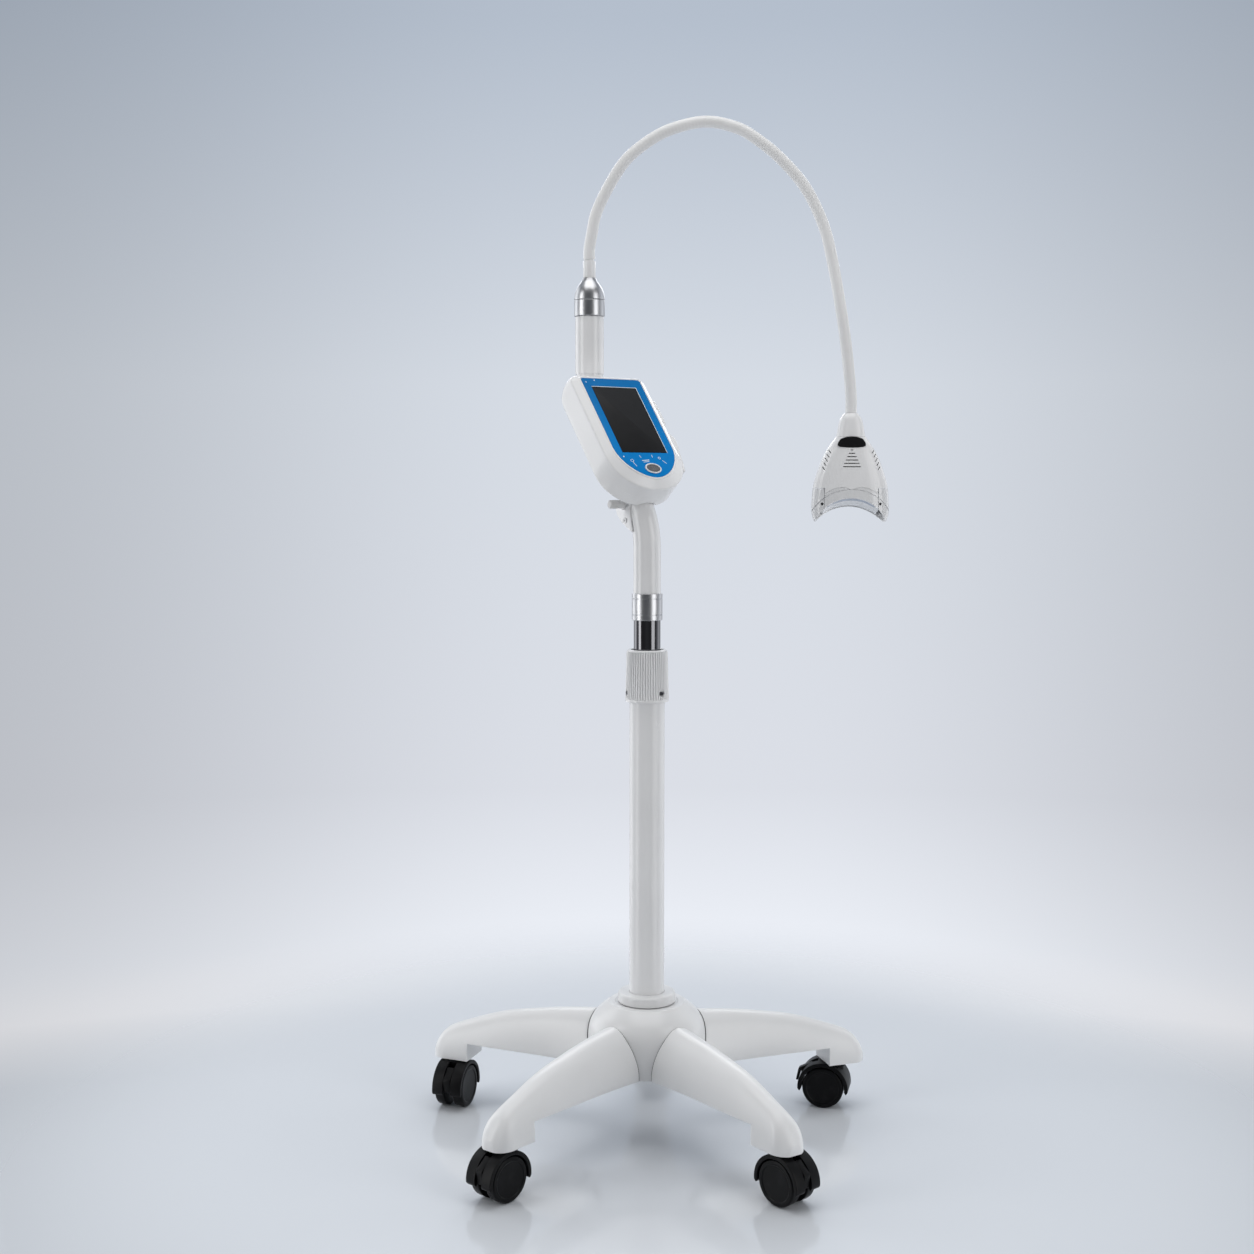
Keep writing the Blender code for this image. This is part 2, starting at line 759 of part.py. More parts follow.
route_shares = (
    (0.0, 0.0), (0.0, 0.09), (0.010, 0.20), (0.027, 0.35), (0.080, 0.56), (0.150, 0.75), (0.256, 0.90),
    (0.348, 0.970), (0.442, 1.0), (0.530, 0.973), (0.610, 0.905), (0.720, 0.74), (0.820, 0.52), (0.889, 0.25),
    (0.923, 0.0), (0.953, -0.27), (0.977, -0.53), (0.993, -0.76), (1.0, -0.90), (1.0, -1.0),
)
apex_index = 8
ball_radius = 0.0041
flex_gap = 0.0012
rib_pitch = 0.0088
rib_depth = 0.0003


def ball_outline(high):
    """Outline from a tube's rim over the ball that stands on it, up to the axis."""
    centre = high + flex_gap
    start = acos(flex_gap / ball_radius)
    points = []
    for turn in spaced(start, pi, 5):
        points.append((ball_radius * sin(turn), centre - ball_radius * cos(turn)))
    points[-1] = (0, centre + ball_radius)
    return points


def route_corners():
    """The gooseneck's chosen points in the arm frame."""
    corners = []
    for across, up in route_shares:
        height = up * (arm_rise if up > 0 else arm_drop)
        corners.append(Vector((across * arm_reach, 0, sleeve_top + height)))
    return corners


def smooth_route(corners, steps):
    """Curve through the corners, with its ends left straight."""
    points = []
    for k in range(len(corners) - 1):
        before = corners[max(k - 1, 0)]
        a, b = corners[k], corners[k + 1]
        after = corners[min(k + 2, len(corners) - 1)]
        for s in range(steps):
            t = s / steps
            curve = 2 * a + (b - before) * t + (2 * before - 5 * a + 4 * b - after) * t**2
            curve += (3 * a - before - 3 * b + after) * t**3
            points.append(curve / 2)
    points.append(corners[-1])
    return points


class Route:
    """A curve that gives the place and the heading at any run along it."""

    def __init__(self, points):
        self.points = points
        self.runs = [0.0]
        for a, b in zip(points, points[1:]):
            self.runs.append(self.runs[-1] + (b - a).length)
        self.length = self.runs[-1]

    def at(self, run):
        """Place at a run, carried on straight past either end."""
        k = 1
        while k < len(self.runs) - 1 and self.runs[k] < run:
            k += 1
        a, b = self.points[k - 1], self.points[k]
        share = (run - self.runs[k - 1]) / (self.runs[k] - self.runs[k - 1])
        return a + (b - a) * share

    def ring(self, run, radius, sides):
        """Ring of points square to the curve, or the point itself at no radius."""
        spot = self.at(run)
        if radius == 0:
            return [spot]
        step = gooseneck_radius / 4
        heading = (self.at(run + step) - self.at(run - step)).normalized()
        aside = Vector((0, 1, 0))
        up = heading.cross(aside)
        turns = [2 * pi * s / sides for s in range(sides)]
        return [spot + aside * radius * cos(a) + up * radius * sin(a) for a in turns]


def ribbed_length(route, start, end, sides=8):
    """Outer rings of a length of hose: plain for one diameter at each end, ribbed between."""
    plain = 2 * gooseneck_radius
    count = max(2, round((end - start - 2 * plain) / rib_pitch))
    rings = [route.ring(start, gooseneck_radius, sides)]
    first = start + plain
    pitch = (end - start - 2 * plain) / count
    for k in range(count):
        rings.append(route.ring(first + pitch * k, gooseneck_radius, sides))
        rings.append(route.ring(first + pitch * (k + 0.5), gooseneck_radius - rib_depth, sides))
    rings.append(route.ring(end - plain, gooseneck_radius, sides))
    rings.append(route.ring(end, gooseneck_radius, sides))
    return rings


def bore_rings(route, start, end, sides=8):
    """Inner rings of a length of hose."""
    spacing = 0.030
    steps = max(2, ceil((end - start) / spacing))
    return [route.ring(run, gooseneck_bore, sides) for run in spaced(start, end, steps)]


def hose(route, start, end):
    """Hose that starts with an open bore over one ball and ends with a ball of its own."""
    plug = 2 * gooseneck_radius
    outside = ribbed_length(route, start, end)
    centre = end + flex_gap
    for radius, height in ball_outline(0):
        outside.append(route.ring(centre + height - flex_gap, radius, 8))
    inside = bore_rings(route, start, end - plug)
    inside.append([route.at(end - plug)])
    return ring_solid(outside + inside[::-1], closed=True)


def plain_ended_hose(route, start, end):
    """Hose with an open bore at both ends."""
    outside = ribbed_length(route, start, end)
    inside = bore_rings(route, start, end)
    return ring_solid(outside + inside[::-1], closed=True)


curve_steps = 5
arm_route = Route(smooth_route(route_corners(), curve_steps))
apex_run = arm_route.runs[apex_index * curve_steps]
apex = arm_route.at(apex_run)


def make_gooseneck():
    """The two lengths of gooseneck, which meet at the top of the arch."""
    foot = (0, 0, sleeve_top + flex_gap)
    lower = hose(arm_route, 2 * flex_gap, apex_run - flex_gap)
    place("gooseneck_lower", lower, "white_sheath", arm_frame, foot)
    upper = plain_ended_hose(arm_route, apex_run + flex_gap, arm_route.length)
    place("gooseneck_upper", upper, "white_sheath", arm_frame, apex)


# Control box, in a frame on its front plane with X right, Y up its slope and Z out of its face

slope = Vector((0, sin(mast_lean), cos(mast_lean)))
outward = Vector((0, -cos(mast_lean), sin(mast_lean)))
box_axes = Matrix((Vector((1, 0, 0)), slope, outward)).transposed().to_4x4()
slope_foot, _ = mast_point(bend_run)
box_origin = slope_foot + slope * box_run + outward * box_standoff
box_frame = mast_frame @ Matrix.Translation(box_origin) @ box_axes
shell_wall = 0.0024
chamfer_depth = 0.0058
parting = 0.0235
fascia_thick = 0.0012
ledge_width = 0.004
panel_floor = fascia_thick + fit_gap
glass_margin = 0.0025
display_depth = 0.0060
board_thick = 0.0016
button_drop = 0.1363
button_half_length = 0.0090
button_half_width = 0.0055
pivot_drop = 0.150
tilt_limit = radians(12)
channel_radius = mast_radius + 0.001

# Height of the bulge on the box's top end as shares of its most, at shares of the depth behind the front
bulge_height = 0.0108
bulge_shares = ((0.0, 0.40), (0.02, 0.472), (0.15, 0.74), (0.25, 0.889), (0.46, 1.0), (0.61, 0.95),
                (0.68, 0.889), (0.80, 0.62), (0.90, 0.333), (1.0, -0.80))
front_depth_shares = (0.28, 0.45)
rear_depth_shares = (0.72, 0.82)


def shield(half, top, length, corner, fullness):
    """Outline with two rounded top corners and a full rounded bottom."""
    corner_steps = 3
    bottom_steps = 12
    straight_share = 0.705
    power = 2 / fullness
    straight = top + (length - top) * straight_share
    points = []
    for turn in spaced(pi / 2, 0, corner_steps):
        points.append((half - corner + corner * cos(turn), -(top + corner) + corner * sin(turn)))
    for turn in spaced(0, pi, bottom_steps):
        side = signed_power(cos(turn), power)
        points.append((half * side, -(straight + (length - straight) * sin(turn) ** power)))
    for turn in spaced(pi, pi / 2, corner_steps):
        points.append((-half + corner + corner * cos(turn), -(top + corner) + corner * sin(turn)))
    return points


def fascia_outline(grow):
    """Outline of the blue fascia, grown or shrunk."""
    corner = 0.003
    fullness = 1.8
    corner = max(corner + grow, fit_gap)
    return shield(fascia_half_width + grow, -grow, fascia_length + grow, corner, fullness)


def body_outline(grow, depth):
    """Outline of the box body at one depth, grown or shrunk. Its top end bulges half way back."""
    top = bulge_height * blended(bulge_shares, depth / box_depth)
    fullness = 2.1
    corner = max(box_corner + grow, fit_gap)
    return shield(box_half_width + grow, -top - grow, box_length + grow, corner, fullness)


def shell_rings(layers):
    """Rings at depths behind the front plane, from pairs of an outline and its depth."""
    return [[(x, y, -depth) for x, y in outline] for outline, depth in layers]


def body_rings(grow, depths):
    """Rings of the box body at several depths."""
    return shell_rings([(body_outline(grow, depth), depth) for depth in depths])


def mast_in_box(radius, tilt=0.0):
    """The mast's route as a plain body in the box frame, seen with the box tilted forward."""
    mesh = ring_solid(mast_rings(radius))
    pivot = Matrix.Translation(pivot_in_box())
    swing = pivot @ Matrix.Rotation(-tilt, 4, "X") @ pivot.inverted()
    mesh.transform(swing @ box_frame.inverted() @ mast_frame)
    return mesh


def pivot_in_box():
    """Point of the tilt axis in the box frame, level with the mast's axis."""
    return Vector((0, -pivot_drop, -box_standoff))


def make_front_shell():
    """Front of the box: chamfered rim, ledge for the fascia and side walls."""
    rim = 0.0018
    round_over = 0.0008
    middle_depths = [box_depth * share for share in front_depth_shares]
    outer_depths = [chamfer_depth, *middle_depths, parting]
    inner_depths = [parting, *middle_depths[::-1], chamfer_depth + shell_wall / 2]
    rings = shell_rings([(fascia_outline(rim), 0), (fascia_outline(rim + round_over), round_over)])
    rings += body_rings(0, outer_depths) + body_rings(-shell_wall, inner_depths)
    ledge = fascia_outline(-ledge_width)
    seat = fascia_outline(fit_gap)
    rings += shell_rings([(ledge, panel_floor + shell_wall), (ledge, panel_floor)])
    rings += shell_rings([(seat, panel_floor), (seat, 0)])
    channels = [mast_in_box(channel_radius, tilt) for tilt in (0, tilt_limit)]
    shell = cut(ring_solid(rings, closed=True), *channels)
    place("box_front_shell", shell, "white_gloss", box_frame)


ear_half_gap = 0.0183
ear_thick = 0.0035
ear_round = 0.0070
pin_radius = 0.0025


def make_rear_shell():
    """Back of the box with a channel that lies over the mast, and two ears for the tilt pins."""
    edge = 0.003
    start = parting + fit_gap
    middle_depths = [box_depth * share for share in rear_depth_shares]
    outer_depths = [start, *middle_depths, box_depth - edge]
    rings = body_rings(0, outer_depths)
    rings += shell_rings([(body_outline(-edge, box_depth), box_depth)])
    inner_rings = body_rings(-shell_wall, [start - overrun, *outer_depths])
    inner_rings += shell_rings([(body_outline(-edge - shell_wall / 2, box_depth), box_depth - shell_wall)])
    tilts = (0, tilt_limit / 2, tilt_limit)
    channels = [mast_in_box(channel_radius, tilt) for tilt in tilts]
    linings = [mast_in_box(channel_radius + shell_wall, tilt) for tilt in (0, tilt_limit)]
    shell = cut(ring_solid(rings), cut(ring_solid(inner_rings), *linings))
    pivot = pivot_in_box()
    root = 0.022
    ear = [(pivot.y, -box_depth + shell_wall), (pivot.y + root, -box_depth + shell_wall)]
    ear += arc((pivot.y, pivot.z), ear_round, radians(60), radians(-120), 6)
    ears = []
    for side in (-1, 1):
        low = min(side * ear_half_gap, side * (ear_half_gap + ear_thick))
        plate = prism([(z, y) for y, z in ear], low, low + ear_thick)
        plate.transform(Matrix(((0, 0, 1, 0), (0, 1, 0, 0), (1, 0, 0, 0), (0, 0, 0, 1))))
        ears.append(fresh(plate))
    back = -box_depth + 3 * shell_wall
    holes = [cylinder(pin_radius + fit_gap, -2 * ear_half_gap, 2 * ear_half_gap, 12, (pivot.y, pivot.z), "X")]
    for spot in screw_places:
        holes.append(cylinder(screw_radius + fit_gap, -box_depth - overrun, back, 8, spot))
    holes.append(cylinder(inlet_radius + fit_gap, -box_depth - overrun, back, 16, inlet_place))
    place("box_rear_shell", cut(join(shell, *ears), *channels, *holes), "white_gloss", box_frame)


def fresh(mesh):
    """Mesh with its faces turned outwards again after a mirror."""
    bm = bmesh.new()
    bm.from_mesh(mesh)
    return mesh_of(bm)


screw_places = ((-0.038, -0.016), (0.038, -0.016), (-0.038, -0.098), (0.038, -0.098))
screw_radius = 0.0014
inlet_radius = 0.0055
inlet_place = (0.033, -0.058)


def make_inlet():
    """Power inlet on the back of the box."""
    seat = -box_depth - fit_gap
    flange = 0.0016
    flange_radius = 0.0075
    body_length = 0.0110
    socket_radius = 0.0032
    outline = [(socket_radius, seat - flange), (flange_radius, seat - flange), (flange_radius, seat)]
    outline += [(inlet_radius, seat), (inlet_radius, seat + body_length), (0, seat + body_length)]
    outline += [(0, seat + body_length / 2), (socket_radius, seat + body_length / 2)]
    inlet = turned(outline, 16)
    inlet.transform(Matrix.Translation((*inlet_place, 0)))
    place("power_inlet", inlet, "black_nylon", box_frame)


def oval(half_length, half_width, steps=16):
    """Outline of an oval about the origin."""
    turns = [2 * pi * k / steps for k in range(steps)]
    return [(half_length * cos(a), half_width * sin(a)) for a in turns]


def window(grow):
    """Corners of the screen's window, low then high."""
    half = screen_width / 2 + grow
    return (-half, -screen_top - screen_length - grow), (half, -screen_top + grow)


def make_panel():
    """Fascia, glass, display, circuit board and power button."""
    low, high = window(0)
    shift = Matrix.Translation((0, -button_drop, 0))
    hole = oval(button_half_length + fit_gap, button_half_width + fit_gap)
    opening = prism(hole, -panel_floor - overrun, overrun)
    fascia = prism(fascia_outline(0), -fascia_thick, 0)
    pane = block((*low, -panel_floor), (*high, overrun))
    fascia = cut(fascia, pane, moved(opening, shift))
    place("box_fascia", fascia, "blue_film", box_frame)
    low, high = window(-fit_gap)
    place("screen_glass", block((*low, -fascia_thick), (*high, 0)), "screen_black", box_frame)
    low, high = window(glass_margin)
    back = panel_floor + display_depth
    place("display_module", block((*low, -back), (*high, -panel_floor)), "dark_grey", box_frame)
    board_side = 0.030
    board_top = 0.010
    board_bottom = button_drop + button_half_width / 3
    board_front = back + fit_gap
    board_back = board_front + board_thick
    board = block((-board_side, -board_bottom, -board_back), (board_side, -board_top, -board_front))
    module = block((-board_side / 2, -board_bottom / 2, -board_front - 6 * board_thick),
                   (board_side / 2, -board_top - 4 * board_side / 5, -board_front - board_thick / 2))
    place("main_board", join(board, module), "circuit_green", box_frame)
    travel = 0.0010
    stand = 0.0012
    button = prism(oval(button_half_length, button_half_width), -board_front + travel + fit_gap, stand)
    place("power_button", moved(button, shift), "mesh_grey", box_frame, (0, -button_drop, 0))


def make_side_grip():
    """Grip on the right wall of the box: a low ridge, a waist and a bar that runs past the rounded foot."""
    start = 0.022
    length = 0.1165
    thick = 0.0075
    tuck = 0.0105
    front = 0.0064
    width = 0.0105
    wall = box_half_width + fit_gap
    outer_shares = (
        (0.0, 0.0), (0.05, 0.44), (0.155, 0.60), (0.26, 0.60), (0.345, 0.47), (0.40, 0.16), (0.475, 0.16),
        (0.49, 0.50), (0.535, 0.92), (0.60, 0.88), (0.955, -0.12),
    )
    outline = [(wall + thick * out, -start - length * along) for along, out in outer_shares]
    outline += [(wall - tuck, -start - length), (wall - tuck, -start)]
    grip = prism(outline, -front - width, -front)
    body = ring_solid(body_rings(fit_gap, (chamfer_depth - fit_gap, box_depth + overrun)))
    place("side_grip", cut(grip, body), "white_gloss", box_frame)


def make_bracket():
    """Block round the back of the mast on the tilt axis, and the hand screw that clamps on its left side."""
    half_width = ear_half_gap - fit_gap
    front_round = 0.0075
    drop = 0.033
    behind = 0.022
    pivot = pivot_in_box()
    level = mast_frame.inverted() @ box_frame @ pivot
    y, z = level.y, level.z
    outline = arc((y, z), front_round, radians(70), radians(215), 6)
    cheek_shares = ((-0.60, -1.0), (-0.32, -0.92), (0.39, -0.65), (0.84, -0.38), (1.0, -0.09), (1.0, 0.09))
    outline += [(y + behind * back, z + drop * up) for back, up in cheek_shares]
    block_body = prism([(-b, a) for a, b in outline], -half_width, half_width)
    block_body.transform(Matrix.Rotation(pi / 2, 4, "Y"))
    block_body = fresh(block_body)
    block_body.transform(box_frame.inverted() @ mast_frame)
    stub = cylinder(pin_radius, mast_radius, ear_half_gap + ear_thick, 10, (pivot.y, pivot.z), "X")
    keep_clear = 0.0010
    clearances = []
    for tilt in (0, tilt_limit):
        swing = Matrix.Translation(pivot) @ Matrix.Rotation(tilt, 4, "X") @ Matrix.Translation(-pivot)
        clearances.append(moved(ring_solid(body_rings(keep_clear, (0, box_depth + keep_clear))), swing))
    body = join(cut(block_body, mast_in_box(mast_radius + fit_gap)), stub)
    place("box_bracket", cut(body, *clearances), "white_enamel", box_frame)
    knob_radius = 0.0050
    knob_length = 0.0120
    shoulder = 0.0070
    knob_start = ear_half_gap + ear_thick + fit_gap
    screw_end = half_width + fit_gap
    head_start = knob_start + shoulder
    head = cylinder(knob_radius, -head_start - knob_length, -head_start, 12, (0, 0), "X")
    neck = cylinder(2 * pin_radius, -head_start - knob_length / 2, -knob_start, 12, (0, 0), "X")
    screw = cylinder(pin_radius, -head_start, -screw_end, 10, (0, 0), "X")
    place("tilt_knob", join(head, neck, screw), "grey_plastic", box_frame @ Matrix.Translation(pivot))


# Lamp head, in a frame at the top of its neck with X right, Y away and Z up

def head_frame():
    """Frame at the end of the gooseneck."""
    end = route_corners()[-1]
    return arm_frame @ Matrix.Translation(end - Vector((0, 0, neck_gap)))


# Half width and half depth as shares of the head's, at shares of its height down from the neck's top
neck_shares = (
    (0.0, 0.17, 0.36), (0.022, 0.225, 0.47), (0.053, 0.282, 0.56), (0.106, 0.322, 0.62), (0.21, 0.374, 0.70),
)
neck_height = head_height * neck_shares[-1][0]
body_shares = (
    (0.212, 0.395, 0.74), (0.232, 0.430, 0.78), (0.32, 0.605, 0.86), (0.40, 0.722, 0.91), (0.49, 0.824, 0.95),
    (0.625, 0.945, 0.985), (0.735, 0.989, 1.0), (0.89, 1.0, 1.0), (0.958, 0.951, 0.96), (1.0, 0.87, 0.88),
)
skirt_share = 0.676
head_wall = 0.0022
mouth_rise_front = 0.0315
mouth_rise_back = 0.0208
mouth_crown_front = head_height - mouth_rise_front
mouth_crown_back = head_height - mouth_rise_back
section_power = 2 / 2.5
neck_gap = 0.0004


def head_ring(share, wide, deep, shrink, steps=16):
    """Rounded cross-section of the head."""
    half = head_half_width * wide - shrink
    depth = head_half_depth * deep - shrink
    ring = []
    for k in range(steps):
        turn = 2 * pi * (k + 0.5) / steps
        x = signed_power(cos(turn), section_power)
        y = signed_power(sin(turn), section_power)
        ring.append((half * x, depth * y, -head_height * share))
    return ring


def head_body(shrink, below=0.0):
    """Solid of the head below its neck, shrunk by a wall and carried on below its foot."""
    rings = [head_ring(share, wide, deep, shrink) for share, wide, deep in body_shares]
    if below:
        rings.append([(x, y, z - below) for x, y, z in rings[-1]])
    return ring_solid(rings)


def mouth_band(inner, outer, half_turn, sides=28):
    """Curved plate about the mouth's sloping axis, between two radii; with no inner radius, a full round."""
    reach = 2 * head_half_depth
    fall = (mouth_crown_back - mouth_crown_front) / (2 * head_half_depth)
    rings = []
    for y in (-reach, reach):
        crown = -(mouth_crown_front + mouth_crown_back) / 2 - fall * y
        centre = crown - mouth_radius
        if inner:
            outline = arc((0, centre), outer, pi / 2 - half_turn, pi / 2 + half_turn, sides // 2)
            outline += arc((0, centre), inner, pi / 2 + half_turn, pi / 2 - half_turn, sides // 2)
        else:
            outline = arc((0, centre), outer, 0, 2 * pi * (1 - 1 / sides), sides - 1)
        rings.append([(x, y, z) for x, z in outline])
    return ring_solid(rings)


def slab(low, high):
    """Slab across the whole head between two heights."""
    wide = 2 * head_half_width
    return block((-wide, -wide, low), (wide, wide, high))


def side_slab(front):
    """Half space in front of the parting line, or behind it."""
    wide = 2 * head_half_width
    tall = 2 * head_height
    near = fit_gap / 2
    if front:
        return block((-wide, -wide, -tall), (wide, -near, tall))
    return block((-wide, near, -tall), (wide, wide, tall))


def make_neck():
    """Neck under the end of the gooseneck, with a spigot that turns in its bore."""
    rings = [head_ring(share, wide, deep, 0) for share, wide, deep in neck_shares]
    spigot_radius = 0.0039
    spigot_height = 0.010
    wire_radius = 0.0022
    spigot = cylinder(spigot_radius, -spigot_height, spigot_height, 12)
    wires = cylinder(wire_radius, -neck_height - overrun, spigot_height + overrun, 8)
    place("head_neck", cut(join(ring_solid(rings), spigot), wires), "white_gloss", head_frame())


def vent_slots():
    """Level slits in a triangle on the front, and slanted slits on each side."""
    first_share = 0.340
    spacing_share = 0.0315
    slit = 0.0012
    width_shares = (0.04, 0.075, 0.11, 0.14, 0.175, 0.205)
    slots = []
    for k, share in enumerate(width_shares):
        middle = -head_height * (first_share + spacing_share * k)
        half = head_half_width * share
        slots.append(block((-half, -2 * head_half_depth, middle - slit / 2), (half, 0, middle + slit / 2)))
    side_first_share = 0.365
    side_spacing_share = 0.043
    side_place_share = 0.86
    side_half = 0.0030
    side_depth = 0.004
    body_widths = [(s, w) for s, w, _ in body_shares]
    for side in (-1, 1):
        for k in range(5):
            share = side_first_share + side_spacing_share * k
            height = -head_height * share
            across = side * head_half_width * blended(body_widths, share) * side_place_share
            slot = block((-side_half, -2 * head_half_depth, -slit / 2), (side_half, -side_depth, slit / 2))
            tilt = Matrix.Rotation(side * radians(50), 4, "Y")
            slots.append(moved(slot, Matrix.Translation((across, 0, height)) @ tilt))
    return slots


head_button_drop = 0.0009
head_button_top = neck_height + head_button_drop
head_button_height = 0.0128
head_button_half = 0.0170
head_button_stand = 0.0012


def head_button_outline(grow):
    """Outline of the button: a flat bottom with full corners and an arched top."""
    half = head_button_half + grow
    top = -head_button_top + grow
    bottom = top - head_button_height - 2 * grow
    middle = (top + bottom) / 2
    reach_shares = (
        (-0.86, 0.45), (-0.4, 0.92), (0, 1.0), (0.4, 0.92), (0.86, 0.45),
        (1.0, -0.45), (0.5, -0.88), (0, -1.0), (-0.5, -0.88), (-1.0, -0.45),
    )
    return [(half * x, middle + (top - middle) * y) for x, y in reach_shares]


def make_head_shells():
    """Front and rear halves of the upper head, with the button's opening and the vents in the front one."""
    skirt_top = -head_height * skirt_share
    wall_top = -neck_height - fit_gap - head_wall
    tall = 2 * head_height
    outer = head_body(0)
    hollow = common(head_body(head_wall, overrun), slab(-tall, wall_top))
    upper = common(outer, slab(skirt_top + fit_gap / 2, overrun))
    shell = cut(upper, hollow)
    wires = cylinder(gooseneck_bore, wall_top - overrun, overrun, 10)
    opening = prism(head_button_outline(fit_gap), 0, 2 * head_half_depth)
    opening.transform(Matrix.Rotation(pi / 2, 4, "X"))
    front = cut(common(shell.copy(), side_slab(True)), wires.copy(), opening, *vent_slots())
    rear = cut(common(shell.copy(), side_slab(False)), wires.copy())
    place("head_front_shell", front, "white_gloss", head_frame())
    place("head_rear_shell", rear, "white_gloss", head_frame())


def make_head_button():
    """Start button in the front shell."""
    depth = 0.0060
    face = head_half_depth * 0.80 + head_button_stand
    button = prism(head_button_outline(0), face - depth, face)
    button.transform(Matrix.Rotation(pi / 2, 4, "X"))
    place("head_button", button, "black_nylon", head_frame(), (0, -face, -head_button_top))


def make_mouth():
    """Clear skirt round the mouth arc, its lens, the lamp board, the heat sink, the fan and the screws."""
    skirt_top = -head_height * skirt_share
    tall = 2 * head_height
    mouth = mouth_band(0, mouth_radius, 0)
    lower = common(head_body(0), slab(-tall, skirt_top - fit_gap / 2))
    ring = cut(lower, head_body(head_wall, overrun), mouth)
    frame = head_frame()
    screw_rise = 0.0245
    screw_drop = head_height - screw_rise
    screw_across = 0.0345
    screw_hole = 0.0017
    holes = []
    for side in (-1, 1):
        spot = (side * screw_across, -screw_drop)
        holes.append(cylinder(screw_hole, -2 * head_half_depth, 0, 10, spot, "Y"))
    place("mouth_skirt", cut(ring, *holes), "clear_grey", frame)
    inside = head_wall + fit_gap
    lens_gap = 0.0006
    lens_thick = 0.0022
    lens_half_turn = radians(40)
    lens = mouth_band(mouth_radius + lens_gap, mouth_radius + lens_gap + lens_thick, lens_half_turn)
    place("mouth_lens", common(head_body(inside), lens), "lens_blue", frame)
    board_out = 0.0045
    board_thickness = 0.0016
    board_in = mouth_radius + lens_gap + lens_thick + board_out
    half_turn = radians(34)
    lamps = mouth_band(board_in, board_in + board_thickness, half_turn)
    place("lamp_board", common(head_body(inside), lamps), "circuit_green", frame)
    sink_half = 0.0200
    sink_deep = 0.0130
    fin_count = 6
    fin_top = -head_height * 0.56
    sink = block((-sink_half, -sink_deep, -tall / 2), (sink_half, sink_deep, fin_top))
    under = mouth_band(0, board_in + board_thickness + 3 * fit_gap, 0)
    slots = []
    pitch = 2 * sink_half / fin_count
    root = 0.006
    for k in range(1, fin_count):
        x = -sink_half + pitch * k
        low = -(mouth_crown_front + mouth_crown_back) / 2 + board_out + lens_thick + root
        slots.append(block((x - pitch * 0.25, -2 * sink_deep, low), (x + pitch * 0.25, 2 * sink_deep, tall)))
    place("heat_sink", cut(sink, under, *slots), "heat_sink", frame)
    fan_bottom = fin_top + fit_gap
    fan_radius = 0.0135
    disc_thick = 0.0012
    blade_height = 0.0060
    blade_half = 0.0005
    rotor = cylinder(fan_radius, fan_bottom, fan_bottom + disc_thick, 20)
    blades = [cylinder(fan_radius * 0.38, fan_bottom, fan_bottom + blade_height, 10)]
    for k in range(7):
        blade = block((fan_radius * 0.25, -blade_half, fan_bottom + disc_thick / 2),
                      (fan_radius * 0.94, blade_half, fan_bottom + blade_height * 0.9))
        blades.append(moved(blade, Matrix.Rotation(2 * pi * k / 7, 4, "Z")))
    place("cooling_fan", join(rotor, *blades), "dark_grey", frame, (0, 0, fan_bottom))
    screw_reach = 0.0060
    face = skirt_face(screw_drop, screw_across)
    for name, side in (("left", -1), ("right", 1)):
        spot = (side * screw_across, -screw_drop)
        screw = cylinder(screw_hole - fit_gap, -face, screw_reach - face, 8, spot, "Y")
        place(f"head_screw_{name}", screw, "dark_steel", frame)


def skirt_face(drop, across):
    """How far the front of the head stands out at a point on it."""
    share = drop / head_height
    half = head_half_width * blended([(s, w) for s, w, _ in body_shares], share)
    depth = head_half_depth * blended([(s, d) for s, _, d in body_shares], share)
    return depth * (1 - (across / half) ** (2 / section_power)) ** (section_power / 2)


make_hub()
make_plate()
make_legs()
make_castors()
make_post()
make_clamp_knob()
make_column()
make_mast()
make_ferrule()
make_gooseneck()
make_front_shell()
make_rear_shell()
make_inlet()
make_panel()
make_side_grip()
make_bracket()
make_neck()
make_head_shells()
make_head_button()
make_mouth()

bpy.context.view_layer.update()
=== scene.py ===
from math import cos, pi, radians, sin, sqrt, tan

import bmesh
import bpy
from mathutils import Matrix, Vector


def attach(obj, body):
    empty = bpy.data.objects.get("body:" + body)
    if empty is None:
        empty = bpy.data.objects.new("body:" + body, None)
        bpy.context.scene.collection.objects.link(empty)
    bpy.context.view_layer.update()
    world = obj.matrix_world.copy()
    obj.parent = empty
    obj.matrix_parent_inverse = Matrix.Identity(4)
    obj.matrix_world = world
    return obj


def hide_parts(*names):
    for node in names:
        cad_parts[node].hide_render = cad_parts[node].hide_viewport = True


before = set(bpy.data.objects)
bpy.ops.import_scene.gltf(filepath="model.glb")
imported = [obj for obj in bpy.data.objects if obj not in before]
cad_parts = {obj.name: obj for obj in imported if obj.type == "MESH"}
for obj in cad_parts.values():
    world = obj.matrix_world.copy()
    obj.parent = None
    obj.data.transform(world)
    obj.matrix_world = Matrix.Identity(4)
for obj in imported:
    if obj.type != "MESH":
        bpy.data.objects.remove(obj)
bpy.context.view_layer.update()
scene = bpy.context.scene
hair = 0.0003  # clearance between neighbours
print("frame loaded:", len(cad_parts), "nodes")


# Shader maths

def feed(tree, slot, value):  # a link or a plain value into an input
    if isinstance(value, Flow):
        tree.links.new(value.socket, slot)
    else:
        slot.default_value = value


